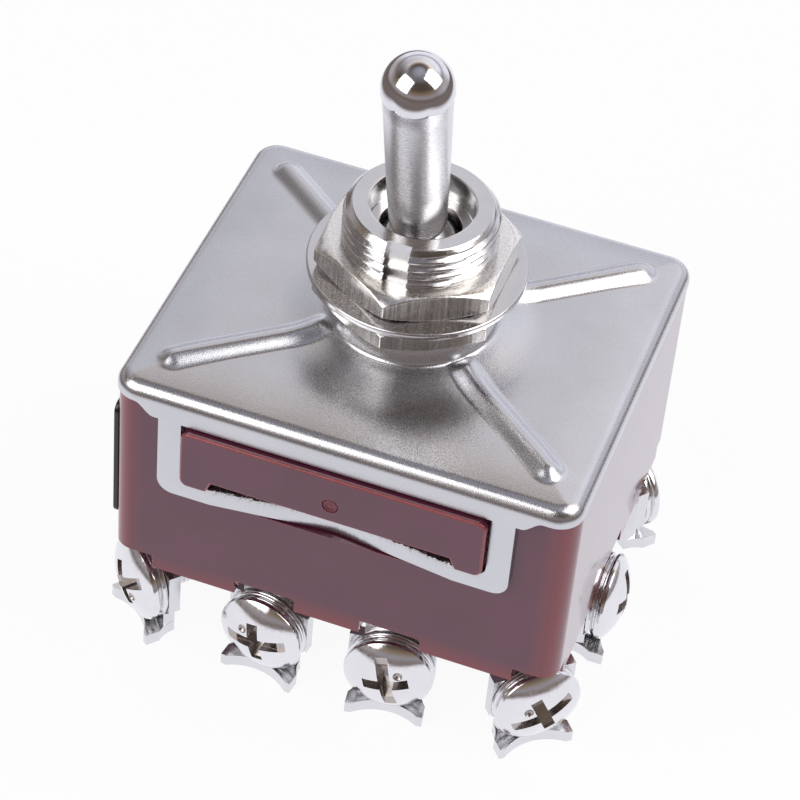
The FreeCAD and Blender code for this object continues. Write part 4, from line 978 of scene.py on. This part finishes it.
def make_floor():
    """Wide pale floor just under the lugs; the camera sees it nearly white, and reflections see a lit sheet with
    a painted dark brown shade in a strip under, behind and just in front of the switch.
    """
    half = 1500
    verts = [(-half, -half, FLOOR), (half, -half, FLOOR), (half, half, FLOOR), (-half, half, FLOOR)]
    material, tree, shader = new_material("floor_white")
    shader.inputs["Base Color"].default_value = (0.88, 0.88, 0.92, 1)
    shader.inputs["Roughness"].default_value = 0.9
    shader.inputs["Specular IOR Level"].default_value = 0.0
    coord = tree.nodes.new("ShaderNodeTexCoord")
    split = tree.nodes.new("ShaderNodeSeparateXYZ")
    tree.links.new(coord.outputs["Object"], split.inputs[0])
    # Painted shade: reflections see the floor dark brown in a strip under, behind and just in front of the switch
    ahead = ranged(tree, split.outputs["Y"], -0.085, -0.055, 0.0, 1.0)
    aside = ranged(tree, mathed(tree, "ABSOLUTE", split.outputs["X"]), 0.065, 0.11, 1.0, 0.0)
    near = mathed(tree, "MULTIPLY", ahead, aside)
    path = tree.nodes.new("ShaderNodeLightPath")
    mirrored = mathed(tree, "MAXIMUM", path.outputs["Is Glossy Ray"], path.outputs["Is Transmission Ray"])
    sheet = mixed_colour(tree, near, (0.13, 0.095, 0.08), (1.0, 1.0, 1.06))
    glow = tree.nodes.new("ShaderNodeEmission")
    shown = mixed_colour(tree, path.outputs["Is Camera Ray"], sheet, (1.0, 1.0, 1.0))
    tree.links.new(shown, glow.inputs["Color"])
    glow.inputs["Strength"].default_value = 1.0
    share = mathed(tree, "MULTIPLY", path.outputs["Is Camera Ray"], 0.94)
    share = mathed(tree, "MAXIMUM", share, mathed(tree, "MULTIPLY", mirrored, 0.9))
    blend = tree.nodes.new("ShaderNodeMixShader")
    tree.links.new(share, blend.inputs[0])
    tree.links.new(shader.outputs[0], blend.inputs[1])
    tree.links.new(glow.outputs[0], blend.inputs[2])
    tree.links.new(blend.outputs[0], tree.nodes["Material Output"].inputs["Surface"])
    mesh_object("floor", verts, [(0, 1, 2, 3)], material, smooth=False)


def ramp_of(tree, value, stops):
    """A colour ramp from (place, colour) stops."""
    node = tree.nodes.new("ShaderNodeValToRGB")
    tree.links.new(value, node.inputs[0])
    ramp = node.color_ramp
    while len(ramp.elements) < len(stops):
        ramp.elements.new(1.0)
    for element, (place, colour) in zip(ramp.elements, stops):
        element.position = place
        element.color = (*colour, 1.0)
    return node.outputs[0]


def make_world():
    """White sweep behind, a dim warm room in front and overhead; the camera sees plain white."""
    world = bpy.data.worlds.new("studio")
    bpy.context.scene.world = world
    world.use_nodes = True
    tree = world.node_tree
    back = tree.nodes["Background"]
    coord = tree.nodes.new("ShaderNodeTexCoord")
    split = tree.nodes.new("ShaderNodeSeparateXYZ")
    tree.links.new(coord.outputs["Generated"], split.inputs[0])
    behind = ramp_of(tree, split.outputs["Z"], (
        (0.0, (1.0, 1.0, 1.1)), (0.30, (1.0, 1.0, 1.1)), (0.37, (0.50, 0.50, 0.55)), (0.44, (0.56, 0.56, 0.62)),
        (0.52, (1.0, 1.0, 1.08)), (0.64, (0.88, 0.89, 0.97)), (0.74, (0.86, 0.84, 0.86)), (0.82, (1.02, 0.94, 0.89)),
        (0.88, (0.30, 0.235, 0.19)), (0.93, (0.085, 0.062, 0.048)), (1.0, (0.38, 0.38, 0.45))))
    side = ranged(tree, split.outputs["X"], -0.5, 0.1, 0.72, 1.12)
    high = ranged(tree, split.outputs["Z"], 0.35, 0.6, 0.0, 1.0)
    behind = mixed_colour(tree, high, behind, scaled_colour(tree, behind, side))
    before = ramp_of(tree, split.outputs["Z"], (
        (0.0, (0.22, 0.165, 0.125)), (0.12, (0.34, 0.33, 0.37)), (0.3, (0.26, 0.19, 0.13)),
        (0.5, (0.09, 0.066, 0.05)), (0.75, (0.085, 0.066, 0.055)), (0.92, (0.20, 0.19, 0.21)),
        (1.0, (0.38, 0.38, 0.45))))
    aside = ranged(tree, mathed(tree, "ABSOLUTE", split.outputs["X"]), 0.55, 0.8, 1.0, 0.25)
    share = mathed(tree, "MULTIPLY", ranged(tree, split.outputs["Y"], -0.25, 0.25, 0.0, 1.0), aside)
    tone = mixed_colour(tree, share, before, behind)
    path = tree.nodes.new("ShaderNodeLightPath")
    seen = mixed_colour(tree, path.outputs["Is Camera Ray"], tone, (1.0, 1.0, 1.0))
    tree.links.new(seen, back.inputs["Color"])
    back.inputs["Strength"].default_value = 1.0


def softbox(name, direction, size):
    """A rectangular area light that faces the switch."""
    lamp = bpy.data.lights.new(name, "AREA")
    lamp.shape = "RECTANGLE"
    lamp.size, lamp.size_y = size
    lamp.energy = LAMP_POWER
    thing = bpy.data.objects.new(name, lamp)
    bpy.context.scene.collection.objects.link(thing)
    way = Vector(direction).normalized()
    thing.location = way * LAMP_DISTANCE
    thing.rotation_mode = "QUATERNION"
    thing.rotation_quaternion = way.to_track_quat("Z", "Y")


# The photograph's camera, fitted to its edges: angles in degrees, distances in millimetres, focal length and image
# centre in pixels of a picture 800 wide
CAMERA_AZ = 15.855
CAMERA_EL = 43.0
CAMERA_ROLL = 5.578
CAMERA_DIST = 249.45
CAMERA_TARGET = (0, 0, -4)
CAMERA_SHIFT = (0.196, 0.244)
CAMERA_FOCAL = 3193.6
CAMERA_CENTRE = (411.30, 348.17)
FRAME_WIDTH = 800
SENSOR_WIDTH = 36

# The lamps: watts and metres
LAMP_POWER = 1.9
LAMP_DISTANCE = 0.6


def camera_axes():
    """Right, up and back of the photograph's camera."""
    az, el, roll = (math.radians(v) for v in (CAMERA_AZ, CAMERA_EL, CAMERA_ROLL))
    forward = Vector((-math.sin(az) * math.cos(el), math.cos(az) * math.cos(el), -math.sin(el)))
    right = Vector((math.cos(az), math.sin(az), 0))
    up = right.cross(forward)
    rolled_right = right * math.cos(roll) + up * math.sin(roll)
    rolled_up = up * math.cos(roll) - right * math.sin(roll)
    return rolled_right, rolled_up, -forward


def make_camera():
    """The photograph's camera."""
    right, up, back = camera_axes()
    target = Vector(CAMERA_TARGET) + right * CAMERA_SHIFT[0] + up * CAMERA_SHIFT[1]
    data = bpy.data.cameras.new("camera")
    data.sensor_width = SENSOR_WIDTH
    data.lens = CAMERA_FOCAL / FRAME_WIDTH * SENSOR_WIDTH
    data.shift_x = (FRAME_WIDTH / 2 - CAMERA_CENTRE[0]) / FRAME_WIDTH
    data.shift_y = (CAMERA_CENTRE[1] - FRAME_WIDTH / 2) / FRAME_WIDTH
    data.clip_start, data.clip_end = 0.01, 20
    thing = bpy.data.objects.new("camera", data)
    bpy.context.scene.collection.objects.link(thing)
    place = Matrix((right, up, back)).transposed().to_4x4()
    place.translation = (target + back * CAMERA_DIST) * MM
    thing.matrix_world = place
    bpy.context.scene.camera = thing


make_floor()
make_world()
make_camera()
right, up, back = camera_axes()
softbox("left_softbox", back * 0.75 - right * 0.62 + up * 0.16, (0.46, 0.46))
softbox("right_softbox", back * 0.62 + right * 0.72 + up * 0.40, (0.42, 0.50))

bpy.context.scene.view_settings.view_transform = "Standard"

bpy.context.view_layer.update()
